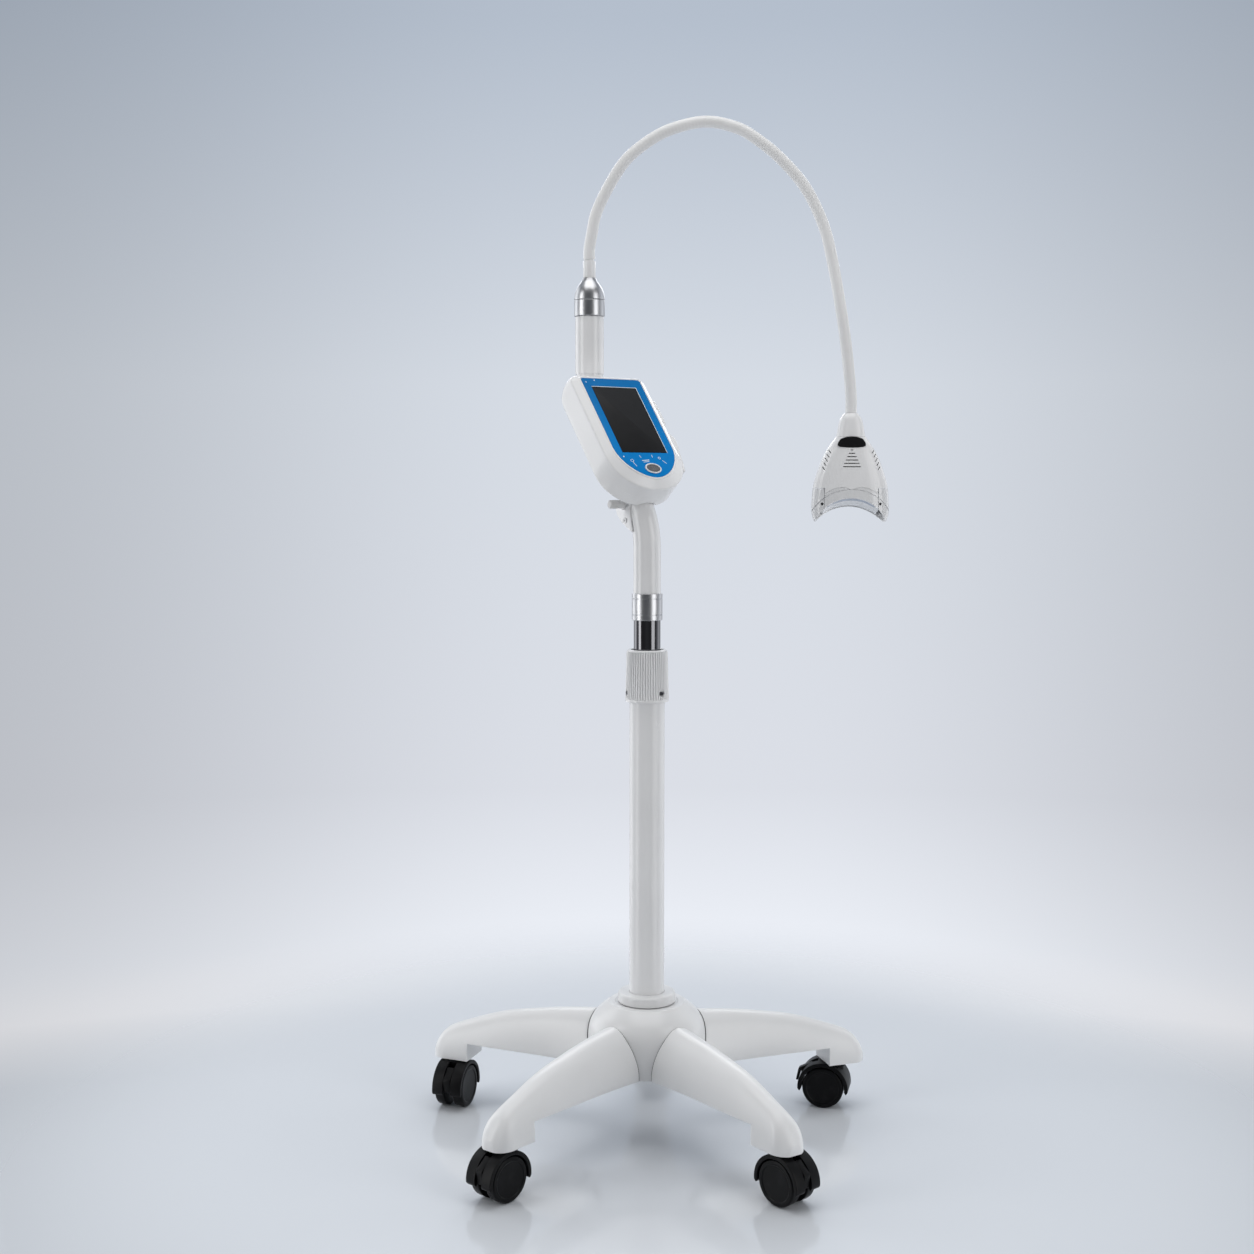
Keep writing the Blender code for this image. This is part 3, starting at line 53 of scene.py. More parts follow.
class Flow:  # one shader socket that can stand in a sum
    def __init__(self, tree, socket):
        self.tree = tree
        self.socket = socket

    def join(self, operation, *values):
        node = self.tree.nodes.new("ShaderNodeMath")
        node.operation = operation
        for slot, value in zip(node.inputs, values):
            feed(self.tree, slot, value)
        return Flow(self.tree, node.outputs[0])

    def __add__(self, other):
        return self.join("ADD", self, other)

    def __sub__(self, other):
        return self.join("SUBTRACT", self, other)

    def __rsub__(self, other):
        return self.join("SUBTRACT", other, self)

    def __mul__(self, other):
        return self.join("MULTIPLY", self, other)

    __radd__ = __add__

    def apply(self, operation):
        return self.join(operation, self)

    def around(self, middle, amount):  # middle, give or take half of amount
        return middle + (self - 0.5) * amount

    def ramp(self, low, high):  # 0 below low, 1 above high, smooth between
        node = self.tree.nodes.new("ShaderNodeMapRange")
        node.interpolation_type = "SMOOTHSTEP"
        self.tree.links.new(self.socket, node.inputs["Value"])
        node.inputs["From Min"].default_value = low
        node.inputs["From Max"].default_value = high
        return Flow(self.tree, node.outputs[0])


class Coat:  # one material and its Principled shader
    def __init__(self, name, **constants):
        self.material = bpy.data.materials.new(name)
        self.material.use_nodes = True
        self.tree = self.material.node_tree
        self.shader = self.tree.nodes["Principled BSDF"]
        for socket, value in constants.items():
            self.set(socket.replace("_", " "), value)

    def node(self, kind, inputs, output):
        node = self.tree.nodes.new(kind)
        for key, value in inputs.items():
            feed(self.tree, node.inputs[key], value)
        return Flow(self.tree, node.outputs[output])

    def set(self, socket, value):
        feed(self.tree, self.shader.inputs[socket], value)

    def place(self, **changes):  # object coordinates, with Rotation or Scale if given
        spot = self.node("ShaderNodeTexCoord", {}, "Object")
        return self.node("ShaderNodeMapping", {"Vector": spot, **changes}, "Vector") if changes else spot

    def axis(self, spot, name):
        return self.node("ShaderNodeSeparateXYZ", {"Vector": spot}, name)

    def noise(self, spot, scale, detail, rough=0.5):
        inputs = {"Vector": spot, "Scale": scale, "Detail": detail, "Roughness": rough}
        return self.node("ShaderNodeTexNoise", inputs, "Fac")

    def mix(self, share, first, second):
        node = self.tree.nodes.new("ShaderNodeMix")
        node.data_type = "RGBA"
        self.tree.links.new(share.socket, node.inputs[0])
        for slot, value in ((node.inputs[6], first), (node.inputs[7], second)):
            feed(self.tree, slot, value if isinstance(value, Flow) else (*value, 1.0))
        return Flow(self.tree, node.outputs[2])

    def mottle(self, share, colour, low, high):  # between two strengths of one colour
        return self.mix(share, shade(colour, low), shade(colour, high))

    def bump(self, height, depth):
        inputs = {"Height": height, "Distance": depth, "Strength": 1.0}
        self.set("Normal", self.node("ShaderNodeBump", inputs, "Normal"))


def shade(colour, factor):
    return tuple(min(1.0, c * factor) for c in colour)


def whiteCoat(name, colour, rough, grain, depth, gloss):  # moulded or painted, faintly mottled and smeared
    coat = Coat(name, IOR=1.46, Coat_Weight=gloss, Coat_Roughness=0.12)
    spot = coat.place()
    clouds = coat.noise(spot, 11.0, 4.0)
    coat.set("Base Color", coat.mottle(clouds.ramp(0.35, 0.65), colour, 0.975, 1.01))
    smears = coat.noise(coat.place(Scale=(1.0, 1.0, 0.35)), 42.0, 6.0, 0.62)
    coat.set("Roughness", smears.around(rough, 0.34 * rough))
    coat.bump(coat.noise(spot, grain, 3.0, 0.6), depth)
    return coat.material


def legCoat(name, colour, rough):  # satin shell, scuffed round the castor ends
    coat = Coat(name, IOR=1.48)
    spot = coat.place()
    clouds = coat.noise(spot, 7.0, 5.0)
    low = 1 - coat.axis(spot, "Z").ramp(0.055, 0.085)
    scuffs = coat.noise(spot, 160.0, 5.0, 0.7).ramp(0.62, 0.72) * low
    base = coat.mottle(clouds.ramp(0.35, 0.65), colour, 0.97, 1.01)
    coat.set("Base Color", coat.mix(scuffs * 0.35, base, shade(colour, 0.62)))
    smears = coat.noise(spot, 30.0, 6.0, 0.6)
    coat.set("Roughness", smears.around(rough, 0.12) + scuffs * 0.2)
    coat.bump(coat.noise(spot, 1500.0, 2.0), 0.00002)
    return coat.material


def turnedMetal(name, colour, rough, lines, depth):  # metal with fine turning lines round a standing axis
    coat = Coat(name, Metallic=1.0)
    rings = coat.noise(coat.place(Scale=(0.02, 0.02, 1.0)), lines, 3.0, 0.7)
    wide = coat.noise(coat.place(), 25.0, 4.0)
    coat.set("Base Color", coat.mottle(rings, colour, 0.90, 1.06))
    coat.set("Roughness", rings.around(rough, 0.16) + (wide - 0.5) * 0.06)
    coat.bump(rings, depth)
    return coat.material


def plainMetal(name, colour, rough):
    coat = Coat(name, Metallic=1.0)
    spot = coat.place()
    spots = coat.noise(spot, 70.0, 5.0, 0.65)
    coat.set("Base Color", coat.mottle(spots, colour, 0.85, 1.1))
    coat.set("Roughness", spots.around(rough, 0.2))
    coat.bump(coat.noise(spot, 900.0, 3.0), 0.00002)
    return coat.material


def blackCoat(name, colour, rough, dusty):  # moulded nylon: pebbled, with dust on it
    coat = Coat(name, IOR=1.24)
    spot = coat.place()
    dust = coat.noise(spot, 55.0, 6.0, 0.7).ramp(0.50, 0.78) * dusty
    coat.set("Base Color", coat.mix(dust, colour, (0.11, 0.11, 0.115)))
    coat.set("Roughness", coat.noise(spot, 90.0, 4.0).around(rough, 0.16) + dust * 0.3)
    coat.bump(coat.noise(spot, 1900.0, 2.0), 0.00004)
    return coat.material


def filmCoat(name, colour, rough):  # printed film, a little deeper at its top end
    coat = Coat(name, IOR=1.18)
    spot = coat.place()
    base = coat.mottle(coat.axis(spot, "Z").ramp(0.79, 0.885), colour, 1, 0.72)
    coat.set("Base Color", coat.mix(coat.noise(spot, 260.0, 3.0) * 0.25, base, shade(colour, 1.25)))
    coat.set("Roughness", coat.noise(spot, 34.0, 5.0).around(rough, 0.10))
    coat.bump(coat.noise(spot, 2600.0, 2.0), 0.00001)
    return coat.material


def screenCoat(name, dark, light, rough, pitch):  # panel under glass, with a faint grid of its dots
    coat = Coat(name, IOR=1.22)
    own = coat.place(Rotation=ownAxes)
    dots = (coat.axis(own, "X") * pitch).apply("SINE") * (coat.axis(own, "Y") * pitch).apply("SINE")
    haze = coat.noise(coat.place(), 13.0, 3.0)
    coat.set("Base Color", coat.mix(haze.ramp(0.3, 0.7) * 0.6 + dots * 0.15, dark, light))
    coat.set("Roughness", coat.noise(coat.place(), 30.0, 5.0).around(rough, 0.06))
    return coat.material


def meshCoat(name, dark, light, rough, pitch):  # woven face of the power button
    coat = Coat(name, IOR=1.3)
    own = coat.place(Rotation=ownAxes)
    across, along = coat.axis(own, "X"), coat.axis(own, "Y")
    weave = ((across + along) * pitch).apply("SINE") * ((across - along) * pitch).apply("SINE")
    holes = weave.ramp(-0.2, 0.5)
    coat.set("Base Color", coat.mix(holes, dark, light))
    coat.set("Roughness", rough + holes * 0.15)
    coat.bump(holes, 0.00012)
    return coat.material


def clearCoat(name, colour, rough, through):
    coat = Coat(name, IOR=1.49, Transmission_Weight=through, Coat_Weight=0.4, Coat_Roughness=0.05)
    spot = coat.place()
    coat.set("Base Color", coat.mottle(coat.noise(spot, 24.0, 3.0), colour, 0.96, 1.03))
    coat.set("Roughness", coat.noise(spot, 60.0, 5.0).around(rough, 0.05))
    return coat.material


def boardCoat(name, colour):
    coat = Coat(name, IOR=1.5)
    tracks = coat.node("ShaderNodeTexBrick", {"Vector": coat.place(), "Scale": 180.0}, "Fac")
    coat.set("Base Color", coat.mottle(tracks, colour, 1, 1.7))
    coat.set("Roughness", 0.4 + tracks * 0.15)
    coat.bump(tracks, 0.00004)
    return coat.material


mastPose = {"turn": radians(37.5), "lean": radians(39.0)}  # turn on the post, lean of the slope
boxAxes = Matrix.Rotation(mastPose["turn"], 3, "Z") @ Matrix.Rotation(pi / 2 - mastPose["lean"], 3, "X")
ownAxes = tuple(boxAxes.inverted().to_euler("XYZ"))  # object coordinates turned into the box's own axes

coatTable = {  # slot, kind of coat and the values it takes
    "glossWhite": ("white_gloss", whiteCoat, (0.865, 0.865, 0.87), 0.22, 700.0, 0.000006, 0.1),
    "enamelWhite": ("white_enamel", whiteCoat, (0.865, 0.865, 0.87), 0.17, 420.0, 0.000005, 0.2),
    "paintWhite": ("white_paint", whiteCoat, (0.84, 0.84, 0.845), 0.26, 900.0, 0.00002, 0.0),
    "sheathWhite": ("white_sheath", whiteCoat, (0.86, 0.86, 0.86), 0.36, 1200.0, 0.000002, 0.0),
    "legWhite": ("white_satin", legCoat, (0.81, 0.81, 0.81), 0.30),
    "hubWhite": ("white_satin", legCoat, (0.82, 0.82, 0.82), 0.22),
    # print colour, also used for the painted highlight lines along the screen window's top and right edges
    "markWhite": ("white_gloss", whiteCoat, (0.80, 0.88, 0.92), 0.4, 1500.0, 0.000005, 0.0),
    "aluminium": ("satin_aluminium", turnedMetal, (0.56, 0.565, 0.58), 0.34, 2600.0, 0.000001),
    "blackChrome": ("dark_chrome", turnedMetal, (0.17, 0.17, 0.18), 0.10, 1400.0, 0.0000005),
    "zincPlate": ("steel_plate", plainMetal, (0.50, 0.51, 0.53), 0.38),
    "darkSteel": ("dark_steel", plainMetal, (0.09, 0.09, 0.10), 0.34),
    "blackNylon": ("black_nylon", blackCoat, (0.003, 0.003, 0.0035), 0.40, 0.05),
    "wheelNylon": ("black_nylon", blackCoat, (0.0025, 0.0025, 0.003), 0.36, 0.07),
    "keyBlack": ("black_nylon", blackCoat, (0.012, 0.012, 0.013), 0.26, 0.12),
    "darkGrey": ("dark_grey", blackCoat, (0.05, 0.05, 0.055), 0.45, 0.1),
    "knobGrey": ("grey_plastic", whiteCoat, (0.66, 0.66, 0.66), 0.38, 1100.0, 0.00003, 0.0),
    "blueFilm": ("blue_film", filmCoat, (0.0005, 0.215, 0.60), 0.34),
    "screenBlack": ("screen_black", screenCoat, (0.012, 0.012, 0.013), (0.024, 0.024, 0.025), 0.34, 5200.0),
    "buttonMesh": ("mesh_grey", meshCoat, (0.10, 0.10, 0.105), (0.24, 0.24, 0.25), 0.35, 5200.0),
    "clearSkirt": ("clear_grey", clearCoat, (0.84, 0.845, 0.855), 0.14, 0.06),
    "lensFrost": ("lens_blue", clearCoat, (0.80, 0.81, 0.83), 0.16, 0.10),
    "lensBlue": ("lens_blue", clearCoat, (0.30, 0.36, 0.48), 0.10, 0.20),
    "boardGreen": ("circuit_green", boardCoat, (0.02, 0.12, 0.05)),
    "sinkMetal": ("heat_sink", plainMetal, (0.66, 0.67, 0.69), 0.35),
}
coats = {name: kind(name, *values) for name, (_, kind, *values) in coatTable.items()}
print("materials made:", len(coats))


# Shapes

def linked(name, data):  # new object in the scene
    obj = bpy.data.objects.new(name, data)
    scene.collection.objects.link(obj)
    return obj


def meshOf(bm, name="shape"):
    mesh = bpy.data.meshes.new(name)
    bm.to_mesh(mesh)
    bm.free()
    return mesh


def joined(*meshes):  # one mesh out of several, without fusing them
    bm = bmesh.new()
    for mesh in meshes:
        bm.from_mesh(mesh)
    return meshOf(bm)


def ringSolid(rings, closed=False):  # closed skin through rings of points
    bm = bmesh.new()
    loops = [[bm.verts.new(point) for point in ring] for ring in rings]
    sides = max(len(loop) for loop in loops)
    for k in range(len(loops) if closed else len(loops) - 1):
        low, high = loops[k], loops[(k + 1) % len(loops)]
        if len(low) == 1 and len(high) == 1:
            continue
        for s in range(sides):
            t = (s + 1) % sides
            if len(low) == 1:
                bm.faces.new((low[0], high[t], high[s]))
            elif len(high) == 1:
                bm.faces.new((low[s], low[t], high[0]))
            else:
                bm.faces.new((low[s], low[t], high[t], high[s]))
    if not closed:
        for loop in (loops[0], loops[-1]):
            if len(loop) > 2:
                bm.faces.new(loop)
    bmesh.ops.remove_doubles(bm, verts=bm.verts, dist=1e-6)
    bmesh.ops.recalc_face_normals(bm, faces=bm.faces)
    return meshOf(bm)


def rounded(points, steps=4):  # closed outline whose third number is the corner's radius
    result = []
    count = len(points)
    for k, point in enumerate(points):
        here = Vector(point[:2])
        radius = point[2] if len(point) > 2 else 0.0
        before, after = Vector(points[k - 1][:2]), Vector(points[(k + 1) % count][:2])
        back, ahead = before - here, after - here
        sharp = radius <= 0 or min(back.length, ahead.length) < 1e-7
        corner = 0.0 if sharp else back.angle(ahead)
        if not 0.02 <= corner <= pi - 0.02:
            result.append(tuple(here))
            continue
        reach = min(radius / tan(corner / 2), 0.49 * back.length, 0.49 * ahead.length)
        radius = reach * tan(corner / 2)
        bisector = (back.normalized() + ahead.normalized()).normalized()
        centre = here + bisector * (radius / sin(corner / 2))
        first = here + back.normalized() * reach - centre
        last = here + ahead.normalized() * reach - centre
        sweep = first.angle(last)
        sense = 1 if first.x * last.y - first.y * last.x > 0 else -1
        for s in range(steps + 1):
            c, d = cos(sense * sweep * s / steps), sin(sense * sweep * s / steps)
            arm = Vector((first.x * c - first.y * d, first.x * d + first.y * c))
            result.append(tuple(centre + arm))
    return result


def roundRing(radius, height, sides):
    if radius < 1e-9:
        return [(0.0, 0.0, height)]
    turns = [2 * pi * s / sides for s in range(sides)]
    return [(radius * cos(turn), radius * sin(turn), height) for turn in turns]


def turned(points, sides=96, steps=4):  # outline of radius, height and corner radius, turned about Z
    return ringSolid([roundRing(r, z, sides) for r, z in rounded(points, steps)], closed=True)


def bevelled(mesh, width, segments, angle):
    return changed(mesh, "BEVEL", width=width, segments=segments, limit_method="ANGLE",
                   angle_limit=radians(angle), harden_normals=False)


def addChange(holder, kind, **settings):
    change = holder.modifiers.new("change", kind)
    for key, value in settings.items():
        setattr(change, key, value)
    return change


def released(holder, *helpers):  # what a holder has become, without the objects that made it
    graph = bpy.context.evaluated_depsgraph_get()
    result = bpy.data.meshes.new_from_object(holder.evaluated_get(graph))
    for spent in (holder, *helpers):
        bpy.data.objects.remove(spent, do_unlink=True)
    return result


def changed(mesh, kind, **settings):  # mesh after one modifier
    holder = linked("holder", mesh)
    addChange(holder, kind, **settings)
    return released(holder)


def combine(base, others, operation, crossing=False):
    holder = linked("holder", base)
    helpers = [linked("helper", other) for other in others]
    for helper in helpers:
        addChange(holder, "BOOLEAN", operation=operation, object=helper, use_self=crossing)
    return released(holder, *helpers)


def cut(base, *others):
    return combine(base, others, "DIFFERENCE")


def union(base, *others):
    return combine(base, others, "UNION")


def common(base, *others):
    return combine(base, others, "INTERSECT")


def prism(outline, low, high, edge=0.0, steps=3):  # outline extruded along Z, with rounded rims
    if edge <= 0:
        return ringSolid([[(x, y, z) for x, y in outline] for z in (low, high)])
    rings = []
    for k in range(steps + 1):
        turn = pi / 2 * k / steps
        rings.append((low + edge * (1 - sin(turn)), -edge * (1 - cos(turn))))
    profile = [(z, inset) for z, inset in rings[::-1]]
    profile += [(high + low - z, inset) for z, inset in rings]
    return ringSolid([[(x, y, z) for x, y in inset2d(outline, inset)] for z, inset in profile])


def inset2d(outline, amount):  # outline moved in (below 0) or out along its own normals
    if abs(amount) < 1e-9:
        return list(outline)
    area = sum(a[0] * b[1] - b[0] * a[1] for a, b in zip(outline, outline[1:] + outline[:1]))
    sense = 1 if area > 0 else -1
    moved = []
    points = [Vector(point[:2]) for point in outline]
    for before, here, after in zip(points[-1:] + points, points, points[1:] + points[:1]):
        one, two = (here - before).normalized(), (after - here).normalized()
        normal = Vector((one.y + two.y, -one.x - two.x))
        if normal.length < 1e-9:
            normal = Vector((one.y, -one.x))
        normal.normalize()
        stretch = max(0.5, normal.dot(Vector((one.y, -one.x))))
        spot = here + normal * (sense * amount / stretch)
        moved.append((spot.x, spot.y))
    return moved


def alongY(outline, near, far, edge=0.0):  # outline in X and Z, from y = -near to y = -far
    mesh = prism(outline, near, far, edge)
    mesh.transform(Matrix.Rotation(pi / 2, 4, "X"))
    return mesh


def shifted(mesh, matrix):
    copy = mesh.copy()
    copy.transform(matrix)
    if matrix.to_3x3().determinant() < 0:
        copy.flip_normals()
    return copy


def rod(radius, low, high, sides, at=(0, 0), axis="Z", edge=0.0):  # at is its place across its axis
    mesh = turned([(0, low), (radius, low, edge), (radius, high, edge), (0, high)], sides)
    if axis == "X":
        mesh.transform(Matrix.Translation((0, at[0], at[1])) @ Matrix.Rotation(pi / 2, 4, "Y"))
    elif axis == "Y":
        mesh.transform(Matrix.Translation((at[0], 0, at[1])) @ Matrix.Rotation(-pi / 2, 4, "X"))
    else:
        mesh.transform(Matrix.Translation((at[0], at[1], 0)))
    return mesh


def slab(low, high):
    outline = [(low[0], low[1]), (high[0], low[1]), (high[0], high[1]), (low[0], high[1])]
    return prism(outline, low[2], high[2])


def spread(low, high, steps):
    return [low + (high - low) * k / steps for k in range(steps + 1)]


def polar(centre, radius, *turns):
    return [(centre[0] + radius * cos(a), centre[1] + radius * sin(a)) for a in turns]


def arc(centre, radius, start, end, steps):
    return polar(centre, radius, *spread(start, end, steps))


def signed(value, power):
    return abs(value) ** power * (1 if value >= 0 else -1)


def flowing(table, at):  # smooth curve through a rising table
    for k in range(len(table) - 1):
        (a, low), (b, high) = table[k], table[k + 1]
        if at <= b or k == len(table) - 2:
            before = table[k - 1] if k else (2 * a - b, 2 * low - high)
            after = table[k + 2] if k + 2 < len(table) else (2 * b - a, 2 * high - low)
            share = max(0.0, min(1.0, (at - a) / (b - a)))
            leave = (high - before[1]) / (b - before[0]) * (b - a)
            reach = (after[1] - low) / (after[0] - a) * (b - a)
            squared, cubed = share**2, share**3
            blend = low * (2 * cubed - 3 * squared + 1) + leave * (cubed - 2 * squared + share)
            return blend + high * (3 * squared - 2 * cubed) + reach * (cubed - squared)
    return table[-1][1]



def piece(name, mesh, coat, body, nodes=(), at=None, angle=38):  # one finished piece that rides on a body
    mesh = mesh.copy()
    if at is not None:
        mesh.transform(at)
    mesh.materials.clear()
    mesh.materials.append(coats[coat])
    mesh.shade_smooth()
    mesh.set_sharp_from_angle(angle=radians(angle))
    obj = linked(name, mesh)
    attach(obj, body)
    if nodes:
        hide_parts(*nodes)
    return obj


def dress(node, coat):  # a CAD node that stays, with a finished material
    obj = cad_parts[node]
    obj.data.materials.clear()
    obj.data.materials.append(coats[coat])


# Shared places

stand = {
    "postX": -0.0095, "postY": -0.025, "postRadius": 0.0205, "postBore": 0.0164, "postTop": 0.541,
    "hubRadius": 0.070, "hubLow": 0.079, "hubTop": 0.152, "stemOut": 0.243, "wheelRadius": 0.025,
    "trail": 0.015,
}
postFrame = Matrix.Translation((stand["postX"], stand["postY"], 0))
legNames = ("front_right", "side_right", "back", "side_left", "front_left")
legTurns = [radians(-54 + 72 * k) for k in range(5)]


# Hub, collar and star plate

hubLook = {
    "sides": 128, "wall": 0.005, "sleeve": 0.0062, "roofShare": 0.60, "neckRadius": 0.0445, "ledge": 0.0035,
    "seat": 0.0008, "collarHeight": 0.0115, "collarRadius": 0.0337, "collarEdge": 0.0028,
}
bellShares = ((0.0, 1.0), (0.36, 1.0), (0.62, 0.97), (0.77, 0.90), (0.87, 0.81), (0.95, 0.71), (1.0, 0.63))


def bell(grow):
    rise = stand["hubTop"] - stand["hubLow"]
    return [(stand["hubRadius"] * flowing(bellShares, up) + grow, stand["hubLow"] + rise * up)
            for up in spread(0, 1, 40)]


def makeHub():
    look = hubLook
    low, top = stand["hubLow"], stand["hubTop"]
    roof = low + (top - low) * look["roofShare"]
    bore = stand["postRadius"] + hair
    ledge, seat, wall = look["collarRadius"] + look["ledge"], look["seat"], look["wall"]
    outline = [(stand["hubRadius"] - wall, low), *bell(0)[:-1], (look["neckRadius"], top, 0.001)]
    outline += [(ledge, top), (ledge - seat, top - seat), (bore, top - seat)]
    outline += [(bore, low), (bore + look["sleeve"], low), (bore + look["sleeve"], roof)]
    outline += [(stand["hubRadius"] - 2 * wall, roof), (stand["hubRadius"] - wall, roof - wall)]
    piece("hubShell", turned(outline, look["sides"]), "hubWhite", "base", ["base_hub"], postFrame)
    low = top + hair
    high = low + look["collarHeight"]
    outline = [(bore, low), (look["collarRadius"], low, 0.0008),
               (look["collarRadius"], high, look["collarEdge"]), (bore, high, 0.0006)]
    piece("postCollar", turned(outline, look["sides"], 8), "hubWhite", "base", ["post_collar"], postFrame)


makeHub()
dress("hub_plate", "zincPlate")
print("hub done")


# Legs, each with X out from the post

legLook = {
    "tip": 0.276, "endRadius": 0.020, "wall": 0.0035, "ridge": 0.136, "half": 0.0325, "bossLow": 0.057,
    "bossShare": 0.815, "socket": 0.030, "pin": 0.005, "archSteps": 40, "stations": 64, "seam": 0.0009,
    "sunk": 0.0003, "rootShare": 0.17, "endShare": 0.995, "hollowShares": (0.35, 0.76), "edge": 0.0004,
    "studRadius": 0.0036, "studTop": 0.0224, "studOut": 0.081, "studAside": 0.010,
}
ridgeShares = (
    (0, 1.03), (0.226, 1), (0.40, 0.966), (0.51, 0.932), (0.63, 0.890), (0.72, 0.842), (0.82, 0.772),
    (0.905, 0.706), (0.945, 0.655), (0.975, 0.585), (0.99, 0.525), (1.0, 0.48),
)
halfShares = (
    (0, 1.13), (0.22, 1.10), (0.30, 1), (0.40, 0.90), (0.55, 0.80), (0.72, 0.715), (0.85, 0.635),
    (0.928, 0.615), (1.0, 0.61),
)


def legSection(out, shrink, floor):  # arch on straight side walls that go down to the floor
    look = legLook
    share = out / look["tip"]
    centre = look["tip"] - look["endRadius"]
    top = look["ridge"] * flowing(ridgeShares, min(share, 1)) - shrink
    half = look["half"] * flowing(halfShares, min(share, 1))
    if out > centre:
        half = min(half, sqrt(max(look["endRadius"]**2 - (out - centre)**2, 0)))
    half -= shrink
    ease = max(0.0, min(1.0, (share - 0.50) / 0.45))
    foot = stand["hubLow"] + (look["bossLow"] - stand["hubLow"]) * ease**2 * (3 - 2 * ease)
    spring = foot + (top - foot) * 0.10
    power = 2 / (1.75 + 0.55 * share)
    ring = [(out, half, floor)]
    for turn in spread(0, pi, look["archSteps"]):
        ring.append((out, half * signed(cos(turn), power), spring + (top - spring) * sin(turn)**power))
    ring.append((out, -half, floor))
    return ring


def hubSolid(grow, foot):  # the hub grown a little, up to above the legs
    sides = 120
    grow += stand["hubRadius"] * (1 / cos(pi / sides) - 1)
    neck, clear = hubLook["neckRadius"], 0.27
    outline = [(0, foot), (stand["hubRadius"] + grow, foot), *bell(grow)]
    return turned(outline + [(neck, stand["hubTop"] + 0.0015), (neck, clear), (0, clear)], sides)


def makeLegs():
    look = legLook
    low, tip, bossLow = stand["hubLow"], look["tip"], look["bossLow"]
    step, end = look["bossShare"] * tip, look["endShare"] * tip
    foot, deeper, wide = bossLow - 0.01, 0.01, 0.1
    outs = spread(look["rootShare"] * tip, step, look["stations"] // 2)
    outs += [step + (end - step) * (1 - (1 - s)**1.7) for s in spread(0, 1, look["stations"] // 2)[1:]]
    leg = ringSolid([legSection(out, 0, foot) for out in outs])
    shares = spread(*look["hollowShares"], 12)
    hollow = ringSolid([legSection(s * tip, look["wall"], low - deeper) for s in shares])
    socket = rod(look["pin"] + hair, foot - 0.005, bossLow + look["socket"], 32, (stand["stemOut"], 0))
    studs = [rod(look["studRadius"], low - deeper, low + look["studTop"], 16, (look["studOut"], aside))
             for aside in (-look["studAside"], look["studAside"])]
    under = [slab((0, -wide, 0), (step, wide, low)),
             slab((step - deeper, -wide, 0), (tip + wide, wide, bossLow))]
    leg = cut(leg, *under, hubSolid(look["seam"], foot - deeper), hollow, socket, *studs)
    leg = bevelled(leg, look["edge"], 2, 48)
    # dark filler sunk in the seam between each leg and the hub: painted shade, so the gap reads as a dark
    # line
    shares = spread(look["rootShare"], 2 * look["rootShare"], 16)
    root = ringSolid([legSection(s * tip, look["sunk"], low + look["sunk"]) for s in shares])
    seamShadeFill = common(root, hubSolid(look["seam"] - 0.0001, foot - deeper))
    seamShadeFill = cut(seamShadeFill, hubSolid(0.0001, foot - 2 * deeper))
    for name, turn in zip(legNames, legTurns):
        at = postFrame @ Matrix.Rotation(turn, 4, "Z")
        piece(f"leg_{name}_shell", leg, "legWhite", "base", [f"leg_{name}"], at)
        piece(f"leg_{name}_gasket", seamShadeFill, "darkGrey", "base", [], at)


makeLegs()
print("legs done")


# Castors, each with its stem on Z and X towards the wheels

castorLook = {
    "gap": 0.0055, "width": 0.0125, "axle": 0.003, "hood": 0.0308, "inner": 0.0262, "hoodHalf": 0.0186,
    "webHalf": 0.005, "seat": 0.0502, "collar": 0.008, "leverHalf": 0.0045, "leverPivot": 0.0282, "press": 16,
    "pinRadius": 0.0011, "pinHalf": 0.0075, "edge": 0.0007, "stem": 0.0092, "pinTop": 0.0297, "hub": 0.0085,
    "slot": 0.0225, "leverTurn": 58,
}
castorHeadings = (-46, 168, 60, -106, -130)
leverReleased = ("side_right", "back")


def onSide(outline, half, edge=0.0):
    return alongY(outline, -half, half, edge)


def leverPivot():
    turn, reach = radians(castorLook["leverTurn"]), castorLook["leverPivot"]
    return Vector((stand["trail"], 0, stand["wheelRadius"])) + Vector((cos(turn), 0, sin(turn))) * reach


def hoodMesh():
    look = castorLook
    axle = (stand["trail"], stand["wheelRadius"])
    start, end, taper = radians(-10), radians(192), radians(6)
    hood, inner = look["hood"], look["inner"]
    middle = (hood + inner) / 2
    outer = (hood + middle) / 2
    fender = arc(axle, hood, start + taper, end - taper, 72)
    fender += polar(axle, outer, end - taper * 0.25) + polar(axle, middle, end)
    fender += arc(axle, inner, end - taper, start + taper, 60)
    fender += polar(axle, middle, start) + polar(axle, outer, start + taper * 0.25)
    web = arc(axle, middle, radians(84), radians(150), 16)
    web += arc(axle, look["hub"], radians(180), radians(400), 32)
    wheelRoom = rod(inner + hair, -0.04, 0.04, 96, axle, "Y")
    low, high = stand["wheelRadius"] + inner * 0.8, legLook["bossLow"] - hair
    pin, pinTop = legLook["pin"], legLook["bossLow"] + look["pinTop"]
    out, seat, collar = look["stem"], look["seat"], look["collar"]
    stem = [(0, low), (out, low), (out, seat, 0.0008), (collar, seat), (collar, high, 0.0006), (pin, high),
            (pin, pinTop, 0.001), (0, pinTop)]
    body = union(onSide(fender, look["hoodHalf"], look["edge"]), onSide(web, look["webHalf"]),
                 cut(turned(stem, 48), wheelRoom))
    first, last = radians(-20), radians(76)
    slot = arc(axle, look["slot"], first, last, 24) + arc(axle, hood + 0.01, last, first, 24)
    pivot, pinEnd = leverPivot(), look["pinHalf"] + hair
    bore = rod(look["axle"] + hair, -0.03, 0.03, 32, axle, "Y")
    pinHole = rod(look["pinRadius"] + hair, -pinEnd, pinEnd, 20, (pivot.x, pivot.z), "Y")
    return cut(body, bore, onSide(slot, look["leverHalf"] + 2 * hair), pinHole)


